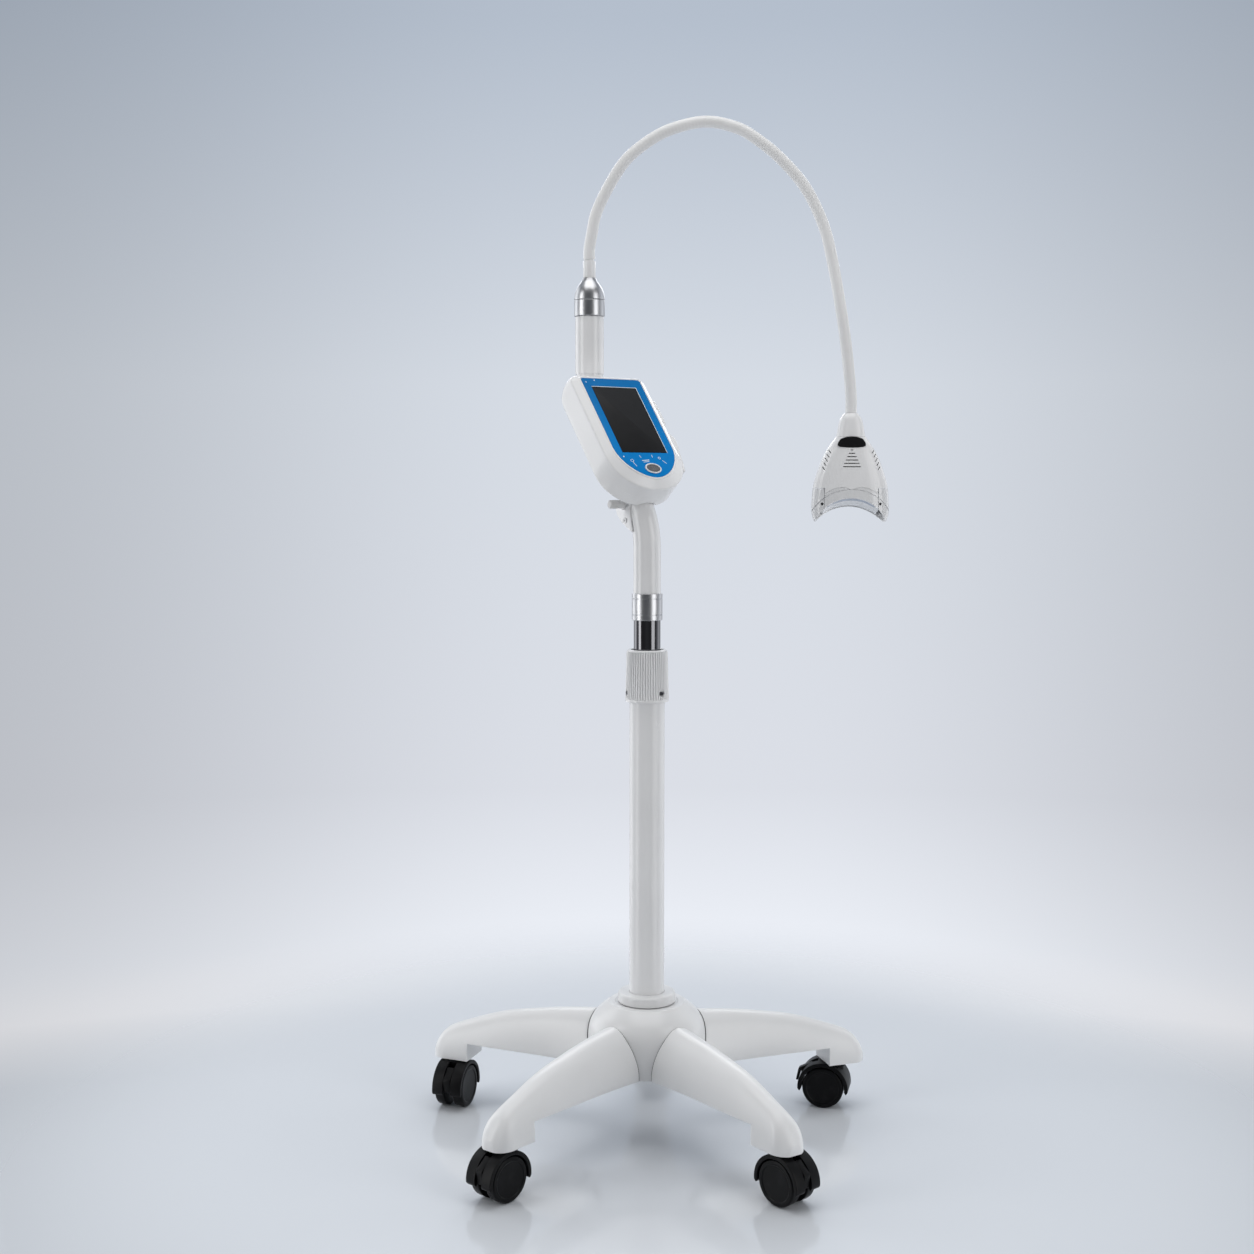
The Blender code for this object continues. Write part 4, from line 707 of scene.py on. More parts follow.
def wheelsMesh():
    look = castorLook
    far = look["gap"] + look["width"]
    radius = stand["wheelRadius"]
    half = [(look["axle"], look["gap"]), (radius, look["gap"], 0.0012), (radius, far, 0.0026)]
    half += [(radius - 0.0050, far, 0.0008), (radius - 0.0060, far - 0.0008, 0.0008), (0, far - 0.0012)]
    outline = [(p[0], -p[1], *p[2:]) for p in reversed(half)] + half
    mesh = turned(outline, 96)
    mesh.transform(Matrix.Rotation(pi / 2, 4, "X"))
    return mesh


def leverMesh():
    look = castorLook
    nose, reach, tab, thick = 0.0022, 0.0165, 0.0140, 0.0028
    drop, fall = radians(-26), radians(-76)
    bend = (reach * cos(drop), reach * sin(drop))
    tip = (bend[0] + tab * cos(fall), bend[1] + tab * sin(fall))
    outline = [(-nose, 0, 0.001), (0, nose, 0.002), (bend[0] + thick * 0.6, bend[1] + thick * 0.5, 0.0035)]
    outline += [(tip[0] + thick * 0.5, tip[1], 0.0009), (tip[0] - thick * 0.5, tip[1], 0.0009)]
    outline += [(bend[0] - thick * 0.5, bend[1] - thick * 0.8, 0.002), (0, -nose * 0.7, 0.001)]
    blade = onSide(rounded(outline, 6), look["leverHalf"], 0.0007)
    return union(blade, rod(look["pinRadius"], -look["pinHalf"], look["pinHalf"], 20, (0, 0), "Y"))


def makeCastors():
    hood, wheels, lever = hoodMesh(), wheelsMesh(), leverMesh()
    axle = Vector((stand["trail"], 0, stand["wheelRadius"]))
    for name, turn, heading in zip(legNames, legTurns, castorHeadings):
        spot = Matrix.Rotation(turn, 3, "Z") @ Vector((stand["stemOut"], 0, 0))
        at = postFrame @ Matrix.Translation(spot) @ Matrix.Rotation(radians(heading), 4, "Z")
        press = 0 if name in leverReleased else radians(castorLook["press"])
        tilt = at @ Matrix.Translation(leverPivot()) @ Matrix.Rotation(press, 4, "Y")
        rolled = at @ Matrix.Translation(axle)
        piece(f"hood_{name}", hood, "blackNylon", f"castor_{name}", [f"castor_hood_{name}"], at)
        piece(f"wheels_{name}", wheels, "wheelNylon", f"wheels_{name}", [f"castor_wheels_{name}"], rolled)
        piece(f"lever_{name}_tab", lever, "blackNylon", f"lever_{name}", [f"castor_lever_{name}"], tilt)


makeCastors()
print("castors done")


# Geometry Nodes, one tree for what stands in a ring and one for a ribbed hose

def newTree(name, inputs):
    tree = bpy.data.node_groups.new(name, "GeometryNodeTree")
    tree.interface.new_socket("Geometry", in_out="INPUT", socket_type="NodeSocketGeometry")
    for key, value in inputs.items():
        kind = "NodeSocketInt" if isinstance(value, int) else "NodeSocketFloat"
        if isinstance(value, bpy.types.Material):
            kind = "NodeSocketMaterial"
        tree.interface.new_socket(key, in_out="INPUT", socket_type=kind)
    tree.interface.new_socket("Geometry", in_out="OUTPUT", socket_type="NodeSocketGeometry")
    return tree


def addNode(tree, kind, settings=None, **links):  # links go to inputs by name, or by number as i0, i1
    node = tree.nodes.new(kind)
    for key, value in (settings or {}).items():
        setattr(node, key, value)
    for key, value in links.items():
        slot = node.inputs[int(key[1:]) if key[1:].isdigit() else key.replace("_", " ")]
        if isinstance(value, bpy.types.NodeSocket):
            tree.links.new(value, slot)
        else:
            slot.default_value = value
    return node


def maths(tree, operation, first, second=None):
    links = {"i0": first} if second is None else {"i0": first, "i1": second}
    return addNode(tree, "ShaderNodeMath", {"operation": operation}, **links).outputs[0]


def grown(tree, mesh, inputs):  # plain mesh that the tree makes from mesh
    holder = linked("holder", mesh)
    change = addChange(holder, "NODES", node_group=tree)
    for item in tree.interface.items_tree:
        if item.item_type == "SOCKET" and item.in_out == "INPUT" and item.name in inputs:
            change[item.identifier] = inputs[item.name]
    return released(holder)


def ringTree():  # rounded bars that stand round Z and lean in to their tops
    names = {"Count": 52, "Radius": 0.0243, "Height": 0.55, "Length": 0.05, "Width": 0.0004, "Lean": 0.02,
             "Coat": coats["glossWhite"]}
    tree = newTree("standingRibs", names)
    given = tree.nodes.new("NodeGroupInput").outputs
    circle = addNode(tree, "GeometryNodeMeshCircle", Vertices=given["Count"], Radius=given["Radius"])
    bar = addNode(tree, "GeometryNodeMeshCylinder", {"fill_type": "TRIANGLE_FAN"}, Vertices=10,
                  Radius=given["Width"], Depth=given["Length"])
    index = addNode(tree, "GeometryNodeInputIndex").outputs[0]
    share = maths(tree, "DIVIDE", maths(tree, "MULTIPLY", index, 2 * pi), given["Count"])
    lean = addNode(tree, "ShaderNodeCombineXYZ", Y=maths(tree, "MULTIPLY", given["Lean"], -1.0)).outputs[0]
    spin = addNode(tree, "ShaderNodeCombineXYZ", Z=share).outputs[0]
    tilt = addNode(tree, "FunctionNodeEulerToRotation", i0=lean).outputs[0]
    turn = addNode(tree, "FunctionNodeEulerToRotation", i0=spin).outputs[0]
    both = addNode(tree, "FunctionNodeRotateRotation", {"rotation_space": "LOCAL"}, i0=turn, i1=tilt)
    stood = addNode(tree, "GeometryNodeInstanceOnPoints", Points=circle.outputs[0], Instance=bar.outputs[0],
                    Rotation=both.outputs[0])
    lift = addNode(tree, "ShaderNodeCombineXYZ", Z=given["Height"]).outputs[0]
    raised = addNode(tree, "GeometryNodeTranslateInstances", Instances=stood.outputs[0], Translation=lift,
                     Local_Space=False)
    real = addNode(tree, "GeometryNodeRealizeInstances", i0=raised.outputs[0])
    coat = addNode(tree, "GeometryNodeSetMaterial", Geometry=real.outputs[0], Material=given["Coat"])
    tree.links.new(coat.outputs[0], tree.nodes.new("NodeGroupOutput").inputs[0])
    return tree


def hoseTree():  # hose along a path, plain at its ends and ribbed between
    names = {"Radius": 0.007, "Depth": 0.0005, "Pitch": 0.0042, "Plain": 0.010, "Step": 0.00035, "Sides": 40,
             "Coat": coats["sheathWhite"]}
    tree = newTree("ribbedHose", names)
    given = tree.nodes.new("NodeGroupInput").outputs
    curve = addNode(tree, "GeometryNodeMeshToCurve", Mesh=given["Geometry"])
    fine = addNode(tree, "GeometryNodeResampleCurve", {"mode": "LENGTH"}, Curve=curve.outputs[0],
                   Length=given["Step"])
    total = addNode(tree, "GeometryNodeSplineLength").outputs[0]
    run = addNode(tree, "GeometryNodeSplineParameter").outputs["Length"]
    nearEnd = maths(tree, "MINIMUM", run, maths(tree, "SUBTRACT", total, run))
    ribStart = maths(tree, "ADD", given["Plain"], given["Pitch"])
    inside = addNode(tree, "ShaderNodeMapRange", {"interpolation_type": "SMOOTHSTEP"}, Value=nearEnd,
                     From_Min=given["Plain"], From_Max=ribStart).outputs[0]
    around = maths(tree, "DIVIDE", maths(tree, "MULTIPLY", run, 2 * pi), given["Pitch"])
    wave = maths(tree, "SUBTRACT", 1.0, maths(tree, "COSINE", around))
    valley = maths(tree, "POWER", maths(tree, "MULTIPLY", wave, 0.5), 1.6)  # above 1: wide ribs, narrow gaps
    sunk = maths(tree, "MULTIPLY", maths(tree, "MULTIPLY", valley, given["Depth"]), inside)
    radius = maths(tree, "SUBTRACT", given["Radius"], sunk)
    ribbed = addNode(tree, "GeometryNodeSetCurveRadius", Curve=fine.outputs[0], Radius=1.0)
    profile = addNode(tree, "GeometryNodeCurvePrimitiveCircle", Resolution=given["Sides"], Radius=1.0)
    skin = addNode(tree, "GeometryNodeCurveToMesh", Curve=ribbed.outputs[0], Profile_Curve=profile.outputs[0],
                   Scale=radius, Fill_Caps=True)
    coat = addNode(tree, "GeometryNodeSetMaterial", Geometry=skin.outputs[0], Material=given["Coat"])
    real = addNode(tree, "GeometryNodeRealizeInstances", i0=coat.outputs[0])
    tree.links.new(real.outputs[0], tree.nodes.new("NodeGroupOutput").inputs[0])
    return tree


standingRibs = ringTree()
ribbedHose = hoseTree()


# Post, clamp knob, lift tube and swivel ring

columnLook = {
    "sides": 96, "knobLow": 0.5075, "knobTop": 0.568, "knobFoot": 0.0252, "knobHead": 0.0235, "lip": 0.0032,
    "ribs": 52, "ribWidth": 0.00085, "ribTop": 0.0024, "sunk": 0.0010, "mouth": 0.0163, "shelf": 0.0035,
    "screw": 0.0022, "screwHeight": 0.0105, "screwIn": 0.0208, "hex": 0.0010, "bushRadius": 0.0205,
    "bushTop": 0.0045, "tubeRadius": 0.0155, "tubeLow": 0.232, "tubeWall": 0.0015, "ringLow": 0.602,
    "ringTop": 0.633, "ringRadius": 0.0177, "ringBore": 0.0162, "grooves": (0.0065, 0.0250), "groove": 0.0011,
    "slot": 0.0004, "seat": 0.015,
}
screwTurns = {"front": -44, "back": 76, "left": 196}


def screwMesh(radius, low, high, hexHalf):  # set screw along Z with a hexagon socket in its top
    body = turned([(0, low), (radius, low), (radius, high, radius * 0.2), (0, high)], 32)
    hexagon = polar((0, 0), hexHalf, *[pi * k / 3 for k in range(6)])
    return cut(body, prism(hexagon, high - hexHalf * 1.4, high + 0.01))


def makeColumn():
    look = columnLook
    sides = look["sides"]
    outline = [(stand["postBore"], stand["hubLow"]), (stand["postRadius"], stand["hubLow"]),
               (stand["postRadius"], stand["postTop"], 0.0006), (stand["postBore"], stand["postTop"], 0.0004)]
    piece("postTube", turned(outline, sides), "paintWhite", "base", ["post_tube"], postFrame)
    low, top, lip = look["knobLow"], look["knobTop"], look["lip"]
    foot, head, sunk = look["knobFoot"], look["knobHead"], look["sunk"]
    bore, mouth, shelf = stand["postRadius"] + hair, look["mouth"], top - look["shelf"]
    outline = [(bore, low), (foot, low, 0.0005), (foot, low + lip, 0.0005)]
    outline += [(foot - sunk, low + lip + 0.0004, 0.0003), (head - sunk, top - 0.0026, 0.0004)]
    outline += [(head - 0.0001, top - 0.0018, 0.0008), (head - 0.0015, top, 0.0009)]
    outline += [(mouth + 0.0026, top, 0.0009), (mouth + 0.0022, shelf), (bore, shelf)]
    knob = turned(outline, 156, 5)
    holes = []
    height = low + look["screwHeight"]
    for turn in screwTurns.values():
        hole = rod(look["screw"] + hair, stand["postRadius"], foot + 0.01, 32, (0, height), "X")
        ream = rod(look["screw"] + 0.0015, foot - 0.0030, foot + 0.01, 32, (0, height), "X")
        holes.append(shifted(union(hole, ream), Matrix.Rotation(radians(turn), 4, "Z")))
    ribLow, ribTop = low + lip, top - look["ribTop"]
    inputs = {"Count": look["ribs"], "Radius": (foot + head) / 2 - 0.00062, "Height": (ribLow + ribTop) / 2,
              "Length": ribTop - ribLow, "Width": look["ribWidth"], "Lean": (foot - head) / (top - low),
              "Coat": coats["glossWhite"]}
    ribs = grown(standingRibs, bpy.data.meshes.new("empty"), inputs)
    knob = combine(joined(knob, ribs), holes, "DIFFERENCE", True)
    piece("clampKnob", knob, "glossWhite", "clamp", ["clamp_knob"], postFrame)
    screw = screwMesh(look["screw"], look["screwIn"], foot - 0.0008, look["hex"])
    for name, turn in screwTurns.items():
        at = postFrame @ Matrix.Rotation(radians(turn), 4, "Z") @ Matrix.Translation((0, 0, height))
        piece(f"knobScrew_{name}", screw, "darkSteel", "clamp", [f"set_screw_{name}"],
              at @ Matrix.Rotation(pi / 2, 4, "Y"))
    tube = look["tubeRadius"]
    bore, low, out, high = tube + hair, stand["postTop"] + hair, look["bushRadius"], top - look["bushTop"]
    outline = [(bore, low), (out, low), (out, high, 0.0008), (bore, high, 0.0006)]
    piece("clampBush", turned(outline, sides), "darkGrey", "base", ["clamp_bush"], postFrame)
    tubeTop, inner, tubeLow = look["ringLow"] + look["seat"], tube - look["tubeWall"], look["tubeLow"]
    outline = [(inner, tubeLow), (tube, tubeLow, 0.0005), (tube, tubeTop), (inner, tubeTop)]
    piece("liftTube", turned(outline, 128), "blackChrome", "column", ["inner_tube"], postFrame)
    low, top, out = look["ringLow"], look["ringTop"], look["ringRadius"]
    outline = [(bore, low), (out, low, 0.0007)]
    for middle in look["grooves"]:
        start, end, deep = low + middle - look["slot"], low + middle + look["slot"], out - look["groove"]
        outline += [(out, start, 0.0002), (deep, start), (deep, end), (out, end, 0.0002)]
    outline += [(out, top, 0.0008), (look["ringBore"], top, 0.0004), (look["ringBore"], tubeTop + hair),
                (bore, tubeTop + hair)]
    piece("swivelRing", turned(outline, 128), "aluminium", "column", ["swivel_ring"], postFrame)


makeColumn()
print("column done")


# Bent mast, in a frame on the post's axis with Y along its lean

mastLook = {
    "radius": 0.0159, "wall": 0.0018, "bend": 0.085, "bendStart": 0.684, "offset": 0.1173, "plug": 0.0453,
    "upperRadius": 0.0172, "upperTop": 0.9578, "bandTop": 0.9773, "bandRadius": 0.0183, "bandBore": 0.009,
    "spigot": 0.0120, "spigotTop": 0.009, "coneBore": 0.0045, "coneTop": 1.0034, "sleeveTop": 1.0234,
    "sleeveRadius": 0.0074, "sides": 72, "bendSteps": 28,
}
mastFrame = postFrame @ Matrix.Rotation(mastPose["turn"], 4, "Z")
lean = mastPose["lean"]
bend, bendStart, offset = (mastLook[key] for key in ("bend", "bendStart", "offset"))
bendRun = bend * lean
slopeRun = (offset - 2 * bend * (1 - cos(lean))) / sin(lean)
bendEnd = bendStart + 2 * bend * sin(lean) + slopeRun * cos(lean)
armFrame = Matrix.Translation(mastFrame @ Vector((0, offset, 0)))


def mastPoint(run):  # place and lean of the tube's middle line, at a length along it
    if run < 0:
        return Vector((0, 0, bendStart + run)), 0.0
    if run < bendRun:
        now = run / bend
        return Vector((0, bend * (1 - cos(now)), bendStart + bend * sin(now))), now
    low = Vector((0, bend * (1 - cos(lean)), bendStart + bend * sin(lean)))
    along = Vector((0, sin(lean), cos(lean)))
    if run < bendRun + slopeRun:
        return low + along * (run - bendRun), lean
    past = run - bendRun - slopeRun
    if past < bendRun:
        now = lean - past / bend
        return Vector((0, offset, bendEnd)) - Vector((0, bend * (1 - cos(now)), bend * sin(now))), now
    return Vector((0, offset, bendEnd + past - bendRun)), 0.0


def mastRings(radius, sides, steps):
    start = columnLook["ringLow"] + columnLook["seat"] + 2 * hair - bendStart
    runs = [start] + spread(0, bendRun, steps)
    runs += spread(bendRun + slopeRun, 2 * bendRun + slopeRun, steps) + [2 * bendRun + slopeRun + 0.045]
    rings = []
    for run in runs:
        spot, now = mastPoint(run)
        tilt = Matrix.Rotation(-now, 3, "X")
        rings.append([spot + tilt @ Vector(point) for point in roundRing(radius, 0, sides)])
    return rings


coneShares = ((0, 0.97), (0.03, 1), (0.28, 0.955), (0.50, 0.85), (0.70, 0.68), (0.86, 0.52), (1, 0.42))


def makeMast():
    look = mastLook
    sides = look["sides"]
    wallRings = mastRings(look["radius"] - look["wall"], sides, look["bendSteps"])[::-1]
    tube = ringSolid(mastRings(look["radius"], sides, look["bendSteps"]) + wallRings, closed=True)
    piece("mastTube", tube, "enamelWhite", "mast", ["mast_bent_tube"], mastFrame)
    bore, out, top = look["radius"] + hair, look["upperRadius"], look["upperTop"]
    low, plug, inner = bendEnd + 0.001, bendEnd + look["plug"], bore - look["wall"]
    outline = [(bore, low), (out, low, 0.0009), (out, top, 0.0004), (inner, top), (inner, plug), (bore, plug)]
    piece("upperTube", turned(outline, 96), "enamelWhite", "mast", ["mast_upper_tube"], armFrame)
    low, high, out = top + hair, look["bandTop"], look["bandRadius"]
    bore, spigot, spigotTop = look["bandBore"], look["spigot"], high + look["spigotTop"]
    outline = [(bore, low), (out, low, 0.0011), (out, high, 0.0007), (spigot, high)]
    outline += [(spigot, spigotTop, 0.0005), (bore, spigotTop)]
    piece("ferruleBand", turned(outline, 128), "aluminium", "mast", ["ferrule_band"], armFrame)
    bore, spigot, spigotTop = look["coneBore"], spigot + hair, spigotTop + hair
    low, high = look["bandTop"] + hair, look["coneTop"]
    outline = [(out * flowing(coneShares, up), low + (high - low) * up) for up in spread(0, 1, 48)]
    outline += [(bore, high), (bore, spigotTop), (spigot, spigotTop), (spigot, low)]
    piece("ferruleCone", turned(outline, 128), "aluminium", "arm_base", ["ferrule_cone"], armFrame)
    low, high, out = look["coneTop"] + hair, look["sleeveTop"], look["sleeveRadius"]
    outline = [(0, low), (out, low, 0.0004), (out, high, 0.0007)]
    outline += [(0.0038, high), (0.0041, high + 0.0022), (0.0030, high + 0.0042), (0, high + 0.0053)]
    piece("gooseneckSleeve", turned(outline, 96), "enamelWhite", "arm_base", ["gooseneck_sleeve"], armFrame)


makeMast()
print("mast done")


# Gooseneck, whose two lengths meet at the top of the arch

neckLook = {
    "radius": 0.0069, "depth": 0.00006, "pitch": 0.0042, "reach": 0.3127, "rise": 0.162, "drop": 0.180,
    "apex": 8, "flexGap": 0.0021, "footInside": 0.0012, "archInside": 0.00008,
}
routeShares = (
    (0.0, 0.0), (0.0, 0.09), (0.010, 0.20), (0.027, 0.35), (0.080, 0.56), (0.150, 0.75), (0.256, 0.90),
    (0.348, 0.970), (0.442, 1.0), (0.530, 0.973), (0.610, 0.905), (0.720, 0.74), (0.820, 0.52), (0.889, 0.25),
    (0.923, 0.0), (0.953, -0.27), (0.977, -0.53), (0.993, -0.76), (1.0, -0.90), (1.0, -1.0),
)


def routePoints(steps):
    look = neckLook
    corners = []
    for across, up in routeShares:
        height = up * (look["rise"] if up > 0 else look["drop"])
        corners.append(Vector((across * look["reach"], 0, mastLook["sleeveTop"] + height)))
    points = []
    for k in range(len(corners) - 1):
        before, a, b = corners[max(k - 1, 0)], corners[k], corners[k + 1]
        after = corners[min(k + 2, len(corners) - 1)]
        for s in range(steps):
            t = s / steps
            curve = 2 * a + (b - before) * t + (2 * before - 5 * a + 4 * b - after) * t**2
            curve += (3 * a - before - 3 * b + after) * t**3
            points.append(curve / 2)
    points.append(corners[-1])
    return points


def pathMesh(points):
    mesh = bpy.data.meshes.new("path")
    mesh.from_pydata([tuple(p) for p in points], [(k, k + 1) for k in range(len(points) - 1)], [])
    return mesh


def makeGooseneck():
    look = neckLook
    steps = 60
    points = routePoints(steps)
    middle = look["apex"] * steps
    start = points[0] + Vector((0, 0, look["flexGap"]))
    lower = [start] + [p for p in points[:middle + 1] if p.z > start.z + 0.0002]
    inputs = {"Radius": look["radius"], "Depth": look["depth"], "Pitch": look["pitch"], "Step": 0.0005,
              "Sides": 36, "Coat": coats["sheathWhite"]}
    first = grown(ribbedHose, pathMesh(lower), {**inputs, "Plain": 0.004})
    piece("gooseneckLower", first, "sheathWhite", "arm_lower", ["gooseneck_lower"], armFrame, 180)
    second = grown(ribbedHose, pathMesh(points[middle:]), {**inputs, "Plain": 0.001})
    piece("gooseneckUpper", second, "sheathWhite", "arm_upper", ["gooseneck_upper"], armFrame, 180)
    for name, spot, inside in (("gooseneckFootBall", points[0], look["footInside"]),
                               ("gooseneckArchBall", points[middle], look["archInside"])):
        radius = look["radius"] - inside  # of a ball that closes the hose where it bends
        rings = [roundRing(radius * sin(turn), radius * cos(turn), 40) for turn in spread(0, pi, 24)]
        ball = shifted(ringSolid(rings), Matrix.Translation(spot))
        piece(name, ball, "sheathWhite", "arm_lower", (), armFrame, 180)


makeGooseneck()
print("gooseneck done")


# Control box, in a frame on its front plane with X right, Y up its slope and Z out of its face

boxLook = {
    "run": 0.1473, "standoff": 0.0477, "half": 0.0530, "depth": 0.0385, "length": 0.1622, "corner": 0.012,
    "fasciaHalf": 0.0421, "fasciaLength": 0.1487, "fasciaCorner": 0.003, "chamfer": 0.0058, "wall": 0.0024,
    "parting": 0.0235, "straight": 0.705, "rim": 0.0018, "roundOver": 0.0008, "soft": 0.0013, "thick": 0.0012,
    "ledge": 0.004, "bulge": 0.0108, "screenWidth": 0.0635, "screenLength": 0.0998, "screenTop": 0.0125,
    "keyDrop": 0.1363, "keyLong": 0.0090, "keyWide": 0.0055, "keyDepth": 0.0115, "keyStand": 0.0012,
    "rimLong": 0.0111, "rimWide": 0.0073, "rimStand": 0.0013, "pivotDrop": 0.150, "earGap": 0.0183,
    "earThick": 0.0035, "earRound": 0.0070, "earReach": 0.022, "pin": 0.0025, "backEdge": 0.0034,
    "channel": 0.0169, "tilt": radians(12), "shellAngle": 44,
}
bulgeShares = (
    (0, 0.40), (0.02, 0.472), (0.15, 0.74), (0.25, 0.889), (0.46, 1), (0.61, 0.95), (0.68, 0.889),
    (0.80, 0.62), (0.90, 0.333), (1, -0.80),
)
slopeFoot = mastPoint(bendRun)[0]
slopeUp, slopeOut = Vector((0, sin(lean), cos(lean))), Vector((0, -cos(lean), sin(lean)))
boxOrigin = slopeFoot + slopeUp * boxLook["run"] + slopeOut * boxLook["standoff"]
boxBasis = Matrix(((1, 0, 0), slopeUp, slopeOut)).transposed().to_4x4()
boxFrame = mastFrame @ Matrix.Translation(boxOrigin) @ boxBasis
pivotSpot = Vector((0, -boxLook["pivotDrop"], -boxLook["standoff"]))


def shield(half, top, length, corner, fullness):  # square at its top, a fuller or flatter oval at its foot
    power, steps = 2 / fullness, 10
    straight = top + (length - top) * boxLook["straight"]
    points = arc((half - corner, -(top + corner)), corner, pi / 2, 0, steps)
    for turn in spread(0, pi, 64):
        points.append((half * signed(cos(turn), power), -(straight + (length - straight) * sin(turn)**power)))
    return points + arc((-half + corner, -(top + corner)), corner, pi, pi / 2, steps)


def fasciaOutline(grow):
    look = boxLook
    corner = max(look["fasciaCorner"] + grow, hair)
    return shield(look["fasciaHalf"] + grow, -grow, look["fasciaLength"] + grow, corner, 1.8)


def bodyOutline(grow, depth):
    look = boxLook
    top = look["bulge"] * flowing(bulgeShares, depth / look["depth"])
    corner = max(look["corner"] + grow, hair)
    return shield(look["half"] + grow, -top - grow, look["length"] + grow, corner, 2.1)


def layers(*pairs):
    return [[(x, y, -depth) for x, y in outline] for outline, depth in pairs]


def between(one, two, share):
    return [(a[0] + (b[0] - a[0]) * share, a[1] + (b[1] - a[1]) * share) for a, b in zip(one, two)]


def boxTilt(angle):
    return Matrix.Translation(pivotSpot) @ Matrix.Rotation(angle, 4, "X") @ Matrix.Translation(-pivotSpot)


def mastInBox(radius, tilt=0.0):
    mesh = ringSolid(mastRings(radius, 48, 14))
    mesh.transform(boxTilt(-tilt) @ boxFrame.inverted() @ mastFrame)
    return mesh


def makeFrontShell():
    look = boxLook
    rings = []
    rim, over, chamfer, soft = look["rim"], look["roundOver"], look["chamfer"], look["soft"]
    for turn in spread(0, pi / 2, 5):
        rings += layers((fasciaOutline(rim + over * (sin(turn) - 1) + over), over * (1 - cos(turn))))
    flat, body = fasciaOutline(rim + over), bodyOutline(0, chamfer)
    drop, last = chamfer - over, 0.84
    for share in (0.3, 0.6, last):
        rings += layers((between(flat, body, share), over + drop * share))
    for t in spread(0, 1, 6)[1:]:  # round from the chamfer into the side wall
        share = last * (1 - t)**2 + 2 * t * (1 - t) + t**2
        depth = (over + drop * last) * (1 - t)**2 + 2 * t * (1 - t) * chamfer + t**2 * (chamfer + soft)
        rings += layers((between(flat, bodyOutline(0, depth), share), depth))
    for depth in spread(chamfer + soft, look["parting"], 12)[1:]:
        rings += layers((bodyOutline(0, depth), depth))
    for depth in spread(look["parting"], chamfer + look["wall"] / 2, 6):
        rings += layers((bodyOutline(-look["wall"], depth), depth))
    floor = look["thick"] + hair
    seat, ledge = fasciaOutline(hair), fasciaOutline(-look["ledge"])
    rings += layers((ledge, floor + look["wall"]), (ledge, floor), (seat, floor), (seat, hair))
    rings += layers((fasciaOutline(2 * hair), 0))
    channels = [mastInBox(look["channel"], tilt) for tilt in (0, look["tilt"])]
    shell = cut(ringSolid(rings, closed=True), *channels)
    piece("boxFront", shell, "glossWhite", "control_box", ["box_front_shell"], boxFrame, look["shellAngle"])


def screwHead(radius, height, slot):  # raised head with a cross recess, its seat at zero and its top on +Z
    shank, reach, low, high = radius * 0.5, radius * 0.6, height * 0.25, height * 3
    dome = turned([(0, -0.004), (shank, -0.004), (shank, 0), (radius, 0, radius * 0.15),
                   (radius * 0.8, height * 0.85, radius * 0.3), (0, height)], 32)
    bars = [slab((-x, -y, low), (x, y, high)) for x, y in ((reach, slot), (slot, reach))]
    return cut(dome, *bars)


screwPlaces = ((-0.038, -0.016), (0.038, -0.016), (-0.038, -0.098), (0.038, -0.098))
inletPlace = (0.033, -0.058)


def makeRearShell():
    look = boxLook
    start, back, edge, wall = look["parting"] + 0.00004, look["depth"], look["backEdge"], look["wall"]
    rings = []
    for depth in spread(start, back - edge, 8):
        rings += layers((bodyOutline(0, depth), depth))
    for turn in spread(0, pi / 2, 7)[1:]:
        depth = back - edge + edge * sin(turn)
        rings += layers((bodyOutline(-edge * (1 - cos(turn)), depth), depth))
    inner = []
    for depth in spread(start - 0.004, back - edge - wall / 2, 6):
        inner += layers((bodyOutline(-wall, max(depth, 0)), depth))
    inner += layers((bodyOutline(-edge - wall / 2, back), back - wall))
    channels = [mastInBox(look["channel"], tilt) for tilt in spread(0, look["tilt"], 2)]
    linings = [mastInBox(look["channel"] + wall, tilt) for tilt in (0, look["tilt"])]
    shell = cut(ringSolid(rings), cut(ringSolid(inner), *linings))
    middle = (pivotSpot.y, pivotSpot.z)
    ear = [(pivotSpot.y, -back + wall), (pivotSpot.y + look["earReach"], -back + wall)]
    ear += arc(middle, look["earRound"], radians(60), radians(-120), 28)
    ears = []
    turn = Matrix(((0, 0, 1, 0), (0, 1, 0, 0), (1, 0, 0, 0), (0, 0, 0, 1)))
    for low in (-look["earGap"] - look["earThick"], look["earGap"]):
        plate = prism([(z, y) for y, z in ear], low, low + look["earThick"], 0.0005)
        ears.append(shifted(plate, turn))
    near, far = -back - 0.004, -back + 0.007
    holes = [rod(look["pin"] + hair, -0.04, 0.04, 32, middle, "X")]
    holes += [rod(0.0017, near, far, 24, spot) for spot in screwPlaces]
    holes.append(rod(0.0058, near, far, 40, inletPlace))
    shell = cut(union(shell, *ears), *channels, *holes)
    piece("boxRear", shell, "glossWhite", "control_box", ["box_rear_shell"], boxFrame, look["shellAngle"])
    head = screwHead(0.0027, 0.0010, 0.00035)
    heads = [shifted(head, Matrix.Translation((*spot, -back)) @ Matrix.Rotation(pi, 4, "X"))
             for spot in screwPlaces]
    piece("boxScrews", joined(*heads), "zincPlate", "control_box", [], boxFrame)
    seat = -back - hair
    lip, floor, end = seat - 0.0016, seat + 0.0055, seat + 0.011
    outline = [(0.0032, lip, 0.0004), (0.0075, lip, 0.0007), (0.0075, seat, 0.0002), (0.0055, seat)]
    outline += [(0.0055, end), (0, end), (0, floor), (0.0032, floor)]
    inlet = joined(turned(outline, 64), rod(0.0009, seat - 0.0008, seat + 0.006, 24, edge=0.0003))
    at = boxFrame @ Matrix.Translation((*inletPlace, 0))
    piece("powerInlet", inlet, "keyBlack", "control_box", ["power_inlet"], at)


